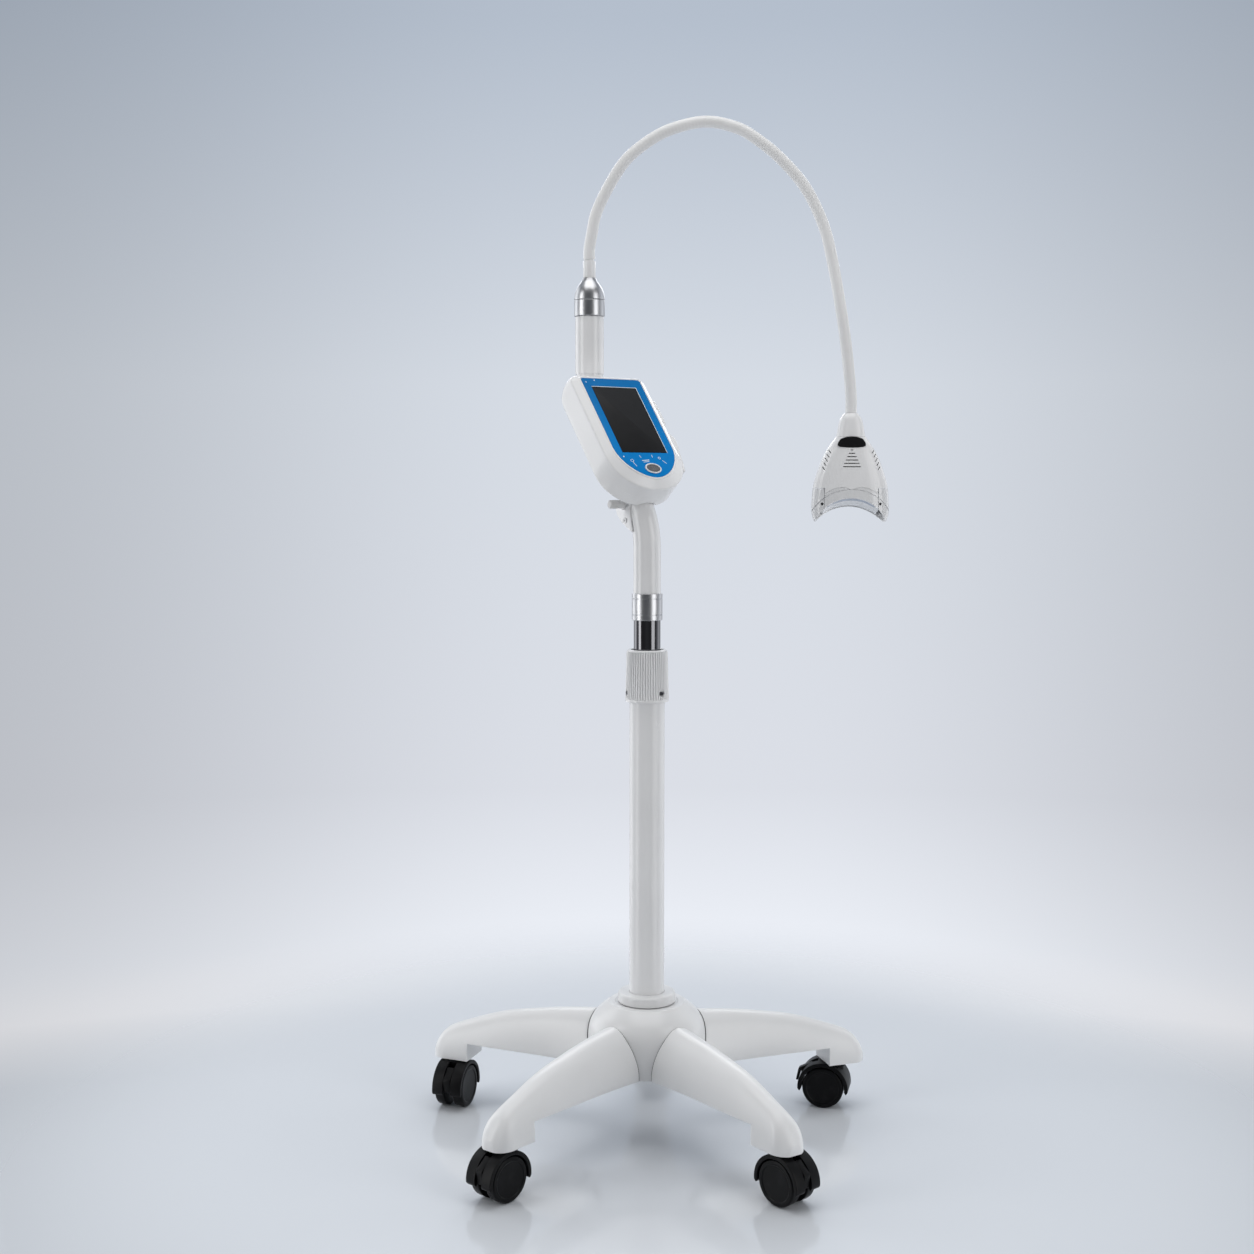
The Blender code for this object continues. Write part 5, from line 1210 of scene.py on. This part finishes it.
def oval(long, wide):
    turns = [2 * pi * k / 72 for k in range(72)]
    return [(long * cos(turn), wide * sin(turn)) for turn in turns]


def window(grow):
    half, top = boxLook["screenWidth"] / 2 + grow, -boxLook["screenTop"]
    return (-half, top - boxLook["screenLength"] - grow), (half, top + grow)


def cornered(low, high, radius):
    spots = ((low[0], low[1]), (high[0], low[1]), (high[0], high[1]), (low[0], high[1]))
    return rounded([(*spot, radius) for spot in spots])


# frame is the width of the painted highlight lines along the window's top and right edges
markLook = {"sunk": 0.0003, "raised": 0.00012, "frame": 0.0007, "ring": 0.0006}
markDots = ((-0.0369, -0.0063, 0.0008), (-0.0240, -0.0030, 0.0008), (-0.0332, -0.1188, 0.0010))
markRings = ((-0.0239, -0.1245, 0.0022), (0.0162, -0.1205, 0.0018))
markStrokes = (  # x, y, width, height, tilt
    (-0.0224, -0.1300, 0.0008, 0.0066, 24), (-0.0101, -0.1185, 0.0008, 0.0034, 18),
    (0.0069, -0.1178, 0.0008, 0.0038, -6), (-0.0048, -0.1240, 0.0105, 0.0010, 6),
    (-0.0048, -0.1262, 0.0080, 0.0008, 6), (0.0210, -0.1262, 0.0008, 0.0066, 40),
)


def makePanel():
    look = boxLook
    low, high = window(0.0004)
    key = Matrix.Translation((0, -look["keyDrop"], 0))
    inner = oval(look["keyLong"] + hair, look["keyWide"] + hair)
    fascia = cut(prism(fasciaOutline(0), -look["thick"], 0, 0.00025), slab((*low, -0.01), (*high, 0.004)),
                 shifted(prism(inner, -0.006, 0.004), key))
    piece("boxFascia", fascia, "blueFilm", "control_box", ["box_fascia"], boxFrame)
    low, high = window(-hair)
    glass = prism(cornered(low, high, 0.0008), -look["thick"], -0.0001, 0.0003)
    piece("screenGlass", glass, "screenBlack", "control_box", ["screen_glass"], boxFrame)
    low, high = window(0.0002)
    sunk, raised, thick = -markLook["sunk"], markLook["raised"], markLook["frame"]
    # thin light lines along the window's top and right edges: a painted highlight of its bevel catching the
    # light; the dots, rings and strokes below are print
    lines = [slab((low[0], high[1] - thick, -0.0004), (high[0], high[1], 0.0001)),
             slab((high[0] - thick, low[1], -0.0004), (high[0], high[1] - thick, 0.0001))]
    for x, y, size in markDots:
        dot = turned([(0, sunk), (size, sunk), (size, raised, 0.00005), (0, raised)], 20)
        lines.append(shifted(dot, Matrix.Translation((x, y, 0))))
    for x, y, size in markRings:
        hole = size - markLook["ring"]
        ring = turned([(hole, sunk), (size, sunk), (size, raised), (hole, raised)], 28)
        lines.append(shifted(ring, Matrix.Translation((x, y, 0))))
    for x, y, wide, tall, tilt in markStrokes:
        bar = slab((-wide / 2, -tall / 2, sunk), (wide / 2, tall / 2, raised))
        lines.append(shifted(bar, Matrix.Translation((x, y, 0)) @ Matrix.Rotation(radians(tilt), 4, "Z")))
    piece("fasciaMarksAndHighlight", joined(*lines), "markWhite", "control_box", [], boxFrame)
    face = prism(oval(look["keyLong"], look["keyWide"]), -look["keyDepth"], look["keyStand"], 0.0007)
    piece("powerMesh", face, "buttonMesh", "power_key", ["power_button"], boxFrame @ key)
    outer = oval(look["rimLong"], look["rimWide"])
    ring = cut(prism(outer, 0.00005, look["rimStand"], 0.0003), prism(inner, -0.001, 0.004))
    piece("powerRim", ring, "glossWhite", "control_box", [], boxFrame @ key)


def wallAt(y):  # where the box's right side is at a place along it
    outline = bodyOutline(0, 0.012)
    for (a, low), (b, high) in zip(outline, outline[1:]):
        if a > 0 and b > 0 and (low - y) * (high - y) <= 0 and abs(low - high) > 1e-9:
            return a + (b - a) * (y - low) / (high - low)
    return boxLook["half"]


gripLook = {"near": -0.0064, "far": -0.0169, "soft": 0.0012, "top": 0.022, "run": 0.1165, "stand": 0.0075}
gripShares = (
    (0, 0), (0.05, 0.44), (0.155, 0.60), (0.26, 0.60), (0.345, 0.47), (0.40, 0.16), (0.475, 0.16),
    (0.49, 0.50), (0.535, 0.92), (0.60, 0.88), (0.955, -0.12),
)


def makeGrip():
    look = gripLook
    near, far = look["near"], look["far"]
    rings = []
    for share in spread(0.004, gripShares[-1][0], 150):
        y = -look["top"] - look["run"] * share
        wall = wallAt(y) + hair
        out = max(boxLook["half"] + hair + look["stand"] * flowing(gripShares, share), wall + 0.0005)
        edge = min(look["soft"], (out - wall) * 0.45)
        ring = [(wall, y, near), (wall, y, far)]
        for middle, start in ((far + edge, -pi / 2), (near - edge, 0)):
            ring += [(x, y, z) for x, z in arc((out - edge, middle), edge, start, start + pi / 2, 5)]
        rings.append(ring)
    grip = bevelled(ringSolid(rings), 0.0005, 2, 60)
    piece("sideGrip", grip, "glossWhite", "control_box", ["side_grip"], boxFrame)


bracketLook = {
    "round": 0.0075, "start": radians(70), "end": radians(215), "wide": 0.022, "tall": 0.033, "edge": 0.0012,
    "boss": (-0.1638, -0.0604), "knobStart": 0.007, "knobLong": 0.012, "knobRadius": 0.0044, "collar": 0.005,
    "ribs": 22, "ribWidth": 0.00055, "ribLong": 0.0102,
}
cheekShares = (  # across, up, and the corner's radius
    (-0.60, -1.0, 0.004), (-0.32, -0.92, 0.006), (0.39, -0.65, 0.012), (0.84, -0.38, 0.006),
    (1.0, -0.09, 0.003), (1.0, 0.09, 0.002),
)


def makeBracket():
    look = bracketLook
    half = boxLook["earGap"] - hair
    level = mastFrame.inverted() @ boxFrame @ pivotSpot
    y, z = level.y, level.z
    outline = arc((y, z), look["round"], look["start"], look["end"], 30)
    cheek = [(y + look["wide"] * b, z + look["tall"] * u, r) for b, u, r in cheekShares]
    outline += rounded([outline[-1], *cheek, outline[0]], 6)[1:-1]
    block = prism([(-b, a) for a, b in outline], -half, half, look["edge"], 4)
    block.transform(boxFrame.inverted() @ mastFrame @ Matrix.Rotation(pi / 2, 4, "Y"))
    ear = boxLook["earGap"] + boxLook["earThick"]
    stub = rod(boxLook["pin"], 0.012, ear, 32, (pivotSpot.y, pivotSpot.z), "X", 0.0004)
    depth = boxLook["depth"]
    clearances = []
    for tilt in (0, boxLook["tilt"]):
        rings = [ring for at in spread(0, depth + 0.001, 8)
                 for ring in layers((bodyOutline(0.001, min(at, depth)), at))]
        clearances.append(shifted(ringSolid(rings), boxTilt(tilt)))
    body = union(cut(block, mastInBox(mastLook["radius"] + hair)), stub)
    body = cut(body, *clearances)
    piece("boxBracket", body, "enamelWhite", "mast", ["box_bracket"], boxFrame, boxLook["shellAngle"])
    inner, outer, low, high = 0.0013, 0.0034, -0.0006, 0.0012
    ring = turned([(inner, low), (outer, low), (outer, high, 0.0005), (inner, high, 0.0003)], 40)
    at = boxFrame @ Matrix.Translation((-half, *look["boss"])) @ Matrix.Rotation(-pi / 2, 4, "Y")
    piece("bracketBoss", ring, "enamelWhite", "mast", [], at)
    start = ear + hair
    first, out = start + look["knobStart"], look["knobRadius"]
    last = first + look["knobLong"]
    head = turned([(0, first), (out, first, 0.0005), (out, last, 0.0009), (0, last)], 64)
    neck = rod(look["collar"], start, first + 0.001, 48, edge=0.0006)
    screw = rod(boxLook["pin"], boxLook["earGap"], first, 32)
    inputs = {"Count": look["ribs"], "Radius": out + 0.00005, "Height": (first + last) / 2,
              "Length": look["ribLong"], "Width": look["ribWidth"], "Lean": 0.0, "Coat": coats["knobGrey"]}
    knob = joined(head, neck, screw, grown(standingRibs, bpy.data.meshes.new("empty"), inputs))
    at = boxFrame @ Matrix.Translation(pivotSpot) @ Matrix.Rotation(-pi / 2, 4, "Y")
    piece("tiltKnob", knob, "knobGrey", "tilt_screw", ["tilt_knob"], at)


makeFrontShell()
makeRearShell()
makePanel()
makeGrip()
makeBracket()
dress("display_module", "darkGrey")
dress("main_board", "boardGreen")
print("box done")


# Lamp head, in a frame at the top of its neck with X right, Y away and Z up

headLook = {
    "half": 0.0462, "depth": 0.0210, "height": 0.1325, "neck": 0.0278, "wall": 0.0022, "skirt": 0.676,
    "mouth": 0.0496, "crownFront": 0.101, "crownBack": 0.1117, "power": 2 / 2.5, "sides": 144,
    "keyTop": 0.0282, "keyTall": 0.0130, "keyHalf": 0.0170, "keyStand": 0.0012, "keyRim": 0.0012,
    "screwDrop": 0.1080, "screwAcross": 0.0345, "wave": 0.0034, "line": 0.0009, "band": 0.0098,
    "panel": 0.0320, "shellAngle": 44, "spigot": 0.0039, "spigotHalf": 0.010, "wires": 0.0022,
    "bore": 0.0045, "over": 0.004,
}
ventLook = {
    "slot": 0.00055, "round": 0.0004, "top": 0.3323, "step": 0.0299, "sideLong": 0.0025, "sideHalf": 0.0005,
    "sideTop": 0.345, "sideStep": 0.0375, "sideCount": 5, "sideShare": 0.86, "sideTurn": 58,
}
ventWidths = (0.034, 0.081, 0.122, 0.158, 0.199, 0.227)
keyShares = (  # across, up, and the corner's radius
    (-0.76, 0.60, 0.004), (-0.40, 0.92, 0.009), (0, 1.0, 0.012), (0.40, 0.92, 0.009), (0.76, 0.60, 0.004),
    (0.93, 0.0, 0.006), (1.0, -0.60, 0.003), (0.80, -0.86, 0.003), (0.4, -0.97, 0.009), (0, -1.0, 0.02),
    (-0.4, -0.97, 0.009), (-0.80, -0.86, 0.003), (-1.0, -0.60, 0.003), (-0.93, 0.0, 0.006),
)
waveShares = (
    (0, -0.55), (0.05, -0.28), (0.13, 0.12), (0.26, 0.32), (0.40, 0.10), (0.56, -0.85), (0.675, -1.9),
)
neckShares = (  # down, width, depth
    (0, 0.17, 0.36), (0.022, 0.225, 0.47), (0.053, 0.282, 0.56), (0.106, 0.322, 0.62), (0.21, 0.374, 0.70),
)
bodyShares = (
    (0.212, 0.395, 0.74), (0.232, 0.430, 0.78), (0.32, 0.605, 0.86), (0.40, 0.722, 0.91), (0.49, 0.824, 0.95),
    (0.625, 0.945, 0.985), (0.735, 0.989, 1.0), (0.89, 1, 1), (0.958, 0.951, 0.96), (1, 0.87, 0.88),
)
bodyWides = [(share, wide) for share, wide, _ in bodyShares]
headFrame = armFrame @ Matrix.Translation(routePoints(1)[-1] - Vector((0, 0, 0.0004)))


def headRing(share, wide, deep, shrink):
    look = headLook
    half, depth, power = look["half"] * wide - shrink, look["depth"] * deep - shrink, look["power"]
    turns = [2 * pi * (k + 0.5) / look["sides"] for k in range(look["sides"])]
    level = -look["height"] * share
    return [(half * signed(cos(turn), power), depth * signed(sin(turn), power), level) for turn in turns]


def headRings(table, steps, shrink=0.0):
    wides = [(s, w) for s, w, _ in table]
    deeps = [(s, d) for s, _, d in table]
    return [headRing(share, flowing(wides, share), flowing(deeps, share), shrink)
            for share in spread(table[0][0], table[-1][0], steps)]


def headBody(shrink, below=0.0):
    rings = headRings(bodyShares, 56, shrink)
    if below:
        rings.append([(x, y, z - below) for x, y, z in rings[-1]])
    return ringSolid(rings)


def mouthBand(inner, outer, halfTurn, sides=96):  # a whole rod where inner is 0
    look = headLook
    reach = 2 * look["depth"]
    fall = (look["crownBack"] - look["crownFront"]) / reach
    start, end = pi / 2 - halfTurn, pi / 2 + halfTurn
    rings = []
    for y in (-reach, reach):
        centre = -(look["crownFront"] + look["crownBack"]) / 2 - fall * y - look["mouth"]
        if inner:
            outline = arc((0, centre), outer, start, end, sides // 2)
            outline += arc((0, centre), inner, end, start, sides // 2)
        else:
            outline = arc((0, centre), outer, 0, 2 * pi * (1 - 1 / sides), sides - 1)
        rings.append([(x, y, z) for x, z in outline])
    return ringSolid(rings)


def acrossHead(low, high):
    wide = 2 * headLook["half"]
    return slab((-wide, -wide, low), (wide, wide, high))


def skirtSide(level, end):  # what lies between the skirt's wavy top edge and a level above or below it
    wide = 2 * headLook["half"]
    edge = []
    for x in spread(-wide, wide, 200):
        out = abs(x) / headLook["half"]
        wave = flowing(waveShares, out) if out < waveShares[-1][0] else 0.1
        edge.append((x, level + headLook["wave"] * wave))
    return alongY(edge + [(wide, end), (-wide, end)], -wide, wide)


def keyOutline(grow):
    look = headLook
    half = look["keyHalf"] + grow
    top = -look["keyTop"] + grow
    bottom = top - look["keyTall"] - 2 * grow
    middle = (top + bottom) / 2
    return rounded([(half * x, middle + (top - middle) * y, r) for x, y, r in keyShares], 8)


def makeVents():
    look, vent = headLook, ventLook
    through = 2 * look["depth"]
    slots = []
    for k, wide in enumerate(ventWidths):
        middle, half = -look["height"] * (vent["top"] + vent["step"] * k), look["half"] * wide
        outline = cornered((-half, middle - vent["slot"]), (half, middle + vent["slot"]), vent["round"])
        slots.append(alongY(outline, 0, through))
    half, tall = vent["sideLong"], vent["sideHalf"]
    slot = alongY(cornered((-half, -tall), (half, tall), vent["round"]), look["over"], through)
    for side in (-1, 1):
        tilt = Matrix.Rotation(-side * radians(vent["sideTurn"]), 4, "Y")
        for k in range(vent["sideCount"]):
            share = vent["sideTop"] + vent["sideStep"] * k
            across = side * look["half"] * flowing(bodyWides, share) * vent["sideShare"]
            slots.append(shifted(slot, Matrix.Translation((across, 0, -look["height"] * share)) @ tilt))
    return slots


def makeHead():
    look = headLook
    over, through, angle = look["over"], 2 * look["depth"], look["shellAngle"]
    spigot = rod(look["spigot"], -look["spigotHalf"], look["spigotHalf"], 48, edge=0.0004)
    wires = rod(look["wires"], -look["neck"] - over, 0.014, 24)
    neck = bevelled(ringSolid(headRings(neckShares, 30)), 0.0006, 3, 50)
    piece("headNeck", cut(union(neck, spigot), wires), "glossWhite", "head", ["head_neck"], headFrame)
    skirtTop = -look["height"] * look["skirt"]
    wallTop = -look["neck"] - hair - look["wall"]
    tall, wide = 2 * look["height"], 2 * look["half"]
    hollow = common(headBody(look["wall"], over), acrossHead(-tall, wallTop))
    shell = cut(common(headBody(0), skirtSide(skirtTop + hair / 2, over)), hollow)
    bore = rod(look["bore"], wallTop - over, over, 32)
    opening = alongY(keyOutline(hair), 0, through)
    frontHalf = slab((-wide, -wide, -tall), (wide, -hair / 2, tall))
    rearHalf = slab((-wide, hair / 2, -tall), (wide, wide, tall))
    front = cut(common(shell.copy(), frontHalf), bore.copy(), opening, *makeVents())
    piece("headFront", front, "glossWhite", "head", ["head_front_shell"], headFrame, angle)
    rear = cut(common(shell, rearHalf), bore)
    piece("headRear", rear, "glossWhite", "head", ["head_rear_shell"], headFrame, angle)
    face = look["depth"] * 0.80 + look["keyStand"]
    key = alongY(keyOutline(0), face - 0.006, face, 0.0008)
    piece("startButton", key, "keyBlack", "start_key", ["head_button"], headFrame)
    inner = alongY(keyOutline(hair), -0.001, 3 * look["depth"])
    ring = cut(alongY(keyOutline(look["keyRim"]), 0, through), inner)
    rim = cut(common(headBody(-0.0004), ring), headBody(0.00005))
    piece("startRim", rim, "glossWhite", "head", [], headFrame)
    return skirtTop


lensLook = {
    "gap": 0.0006, "far": 0.0028, "turn": radians(40), "stripNear": 0.0001, "stripFar": 0.0005,
    "stripTurn": radians(34), "stripFront": 0.0035, "stripBack": 0.0125,
}


def makeMouth(skirtTop):
    look, lens = headLook, lensLook
    tall, wide, line, mouth, angle = 2 * look["height"], 0.1, look["line"], look["mouth"], look["shellAngle"]
    lower = common(headBody(0), skirtSide(skirtTop - hair / 2, -tall))
    shallow = headBody(line)
    band = mouth + look["band"]
    lines = [cut(mouthBand(band, band + line, radians(52)), shallow)]
    for middle in (-look["panel"], look["panel"]):
        groove = slab((middle - line / 2, -wide, -tall), (middle + line / 2, wide, 0))
        lines.append(cut(groove, shallow.copy()))
    ring = cut(lower, headBody(look["wall"], look["over"]), mouthBand(0, mouth, 0, 192), *lines)
    spots = [(across, -look["screwDrop"]) for across in (-look["screwAcross"], look["screwAcross"])]
    ring = cut(ring, *[rod(0.0017, -2 * look["depth"], 0, 24, spot, "Y") for spot in spots])
    piece("mouthSkirt", ring, "clearSkirt", "head", ["mouth_skirt"], headFrame, angle)
    curved = mouthBand(mouth + lens["gap"], mouth + lens["far"], lens["turn"])
    curved = common(headBody(look["wall"] + hair), curved)
    piece("mouthLens", curved, "lensFrost", "head", ["mouth_lens"], headFrame, angle)
    front = -look["depth"]
    strip = slab((-wide, front + lens["stripFront"], -tall), (wide, front + lens["stripBack"], 0))
    strip = common(mouthBand(mouth + lens["stripNear"], mouth + lens["stripFar"], lens["stripTurn"]), strip)
    piece("lensWindow", strip, "lensBlue", "head", [], headFrame, angle)
    half = look["half"] * flowing(bodyWides, look["screwDrop"] / look["height"])
    face = look["depth"] * (1 - (look["screwAcross"] / half)**2.5)**0.4
    screw = screwMesh(0.0014, -0.006, 0, 0.0007)
    for name, spot in zip(("left", "right"), spots):
        at = headFrame @ Matrix.Translation((spot[0], -face, spot[1])) @ Matrix.Rotation(pi / 2, 4, "X")
        piece(f"headScrew_{name}", screw, "darkSteel", "head", [f"head_screw_{name}"], at)


makeMouth(makeHead())
dress("lamp_board", "boardGreen")
dress("heat_sink", "sinkMetal")
dress("cooling_fan", "darkGrey")
print("head done")


# Stage, light and camera

stageLook = {"floorRadius": 3.0, "fadeStart": 0.45, "fadeEnd": 0.95, "rough": 0.10}


def makeFloor():
    look = stageLook
    bm = bmesh.new()
    bmesh.ops.create_circle(bm, cap_ends=True, segments=96, radius=look["floorRadius"])
    mesh = meshOf(bm, "floor")
    coat = Coat("floorPaint", IOR=1.8)
    spot = coat.place()
    x, y = coat.axis(spot, "X"), coat.axis(spot, "Y")
    out = (x * x + y * y).apply("SQRT")
    coat.set("Base Color", coat.mix(coat.noise(spot, 1.8, 2.0), (0.74, 0.77, 0.81), (0.77, 0.795, 0.83)))
    coat.set("Roughness", coat.noise(spot, 5.0, 4.0).around(look["rough"], 0.05))
    coat.set("Alpha", 1 - out.ramp(look["fadeStart"], look["fadeEnd"]))
    mesh.materials.append(coat.material)
    floor = linked("floor", mesh)


skyStops = (  # height from straight down to straight up, and its colour
    (0.0, (0.64, 0.68, 0.74)), (0.335, (0.66, 0.70, 0.76)), (0.352, (0.93, 0.94, 0.98)),
    (0.366, (0.84, 0.87, 0.93)), (0.41, (0.71, 0.735, 0.795)), (0.53, (0.672, 0.716, 0.783)),
    (0.632, (0.46, 0.52, 0.61)), (0.80, (0.42, 0.46, 0.52)), (1.0, (0.55, 0.58, 0.62)),
)


def makeWorld():
    world = bpy.data.worlds.new("studio")
    scene.world = world
    world.use_nodes = True
    tree = world.node_tree
    tree.nodes.clear()
    where = tree.nodes.new("ShaderNodeTexCoord")
    split = tree.nodes.new("ShaderNodeSeparateXYZ")
    tree.links.new(where.outputs["Generated"], split.inputs[0])
    across, ahead, high = (Flow(tree, split.outputs[k]) for k in range(3))
    ramp = tree.nodes.new("ShaderNodeValToRGB")
    level = (high + 1) * 0.5
    tree.links.new(level.socket, ramp.inputs["Fac"])
    ramp.color_ramp.interpolation = "LINEAR"
    for k, (place, colour) in enumerate(skyStops):
        stop = ramp.color_ramp.elements[k] if k < 2 else ramp.color_ramp.elements.new(place)
        stop.position = place
        stop.color = (*colour, 1.0)
    side = across.apply("ABSOLUTE").ramp(0.05, 0.45)
    behind = (ahead * -1).ramp(-0.35, 0.35)
    share = (1 - side * 0.30) * (1 - behind * 0.86)  # darker at the sides and behind the camera
    light = tree.nodes.new("ShaderNodeBackground")
    tree.links.new(ramp.outputs[0], light.inputs["Color"])
    tree.links.new(share.socket, light.inputs["Strength"])
    end = tree.nodes.new("ShaderNodeOutputWorld")
    tree.links.new(light.outputs[0], end.inputs[0])


def addLight(name, place, aim, size, power):  # aim is a height on the Z axis
    data = bpy.data.lights.new(name, "AREA")
    data.shape = "RECTANGLE"
    data.size, data.size_y = size
    data.energy = power
    lamp = linked(name, data)
    lamp.location = place
    lamp.rotation_euler = (Vector((0, 0, aim)) - Vector(place)).to_track_quat("-Z", "Y").to_euler()


makeFloor()
makeWorld()
addLight("leftStrip", (-1.44, -0.70, 0.80), 0.70, (0.60, 2.2), 13)
addLight("rightStrip", (1.30, -0.95, 0.80), 0.70, (0.85, 2.2), 13.5)
addLight("leftRim", (-1.60, 0.85, 0.90), 0.70, (1.0, 2.2), 9)
addLight("rightRim", (1.50, 0.85, 0.90), 0.70, (1.0, 2.2), 4)
addLight("topSoft", (0.0, -0.2, 2.4), 0.3, (1.8, 1.4), 16)
addLight("backSoft", (0.0, 1.7, 1.6), 0.4, (1.8, 0.8), 12)

camera = linked("camera", bpy.data.cameras.new("camera"))
camera.location = (0.0339, -1.9352, 0.7555)
camera.rotation_euler = (radians(85.16), 0, radians(2.0))
camera.data.lens = 47.56
camera.data.sensor_width = 36
camera.data.dof.use_dof = False
scene.camera = camera
scene.view_settings.view_transform = "Standard"
print("stage done")
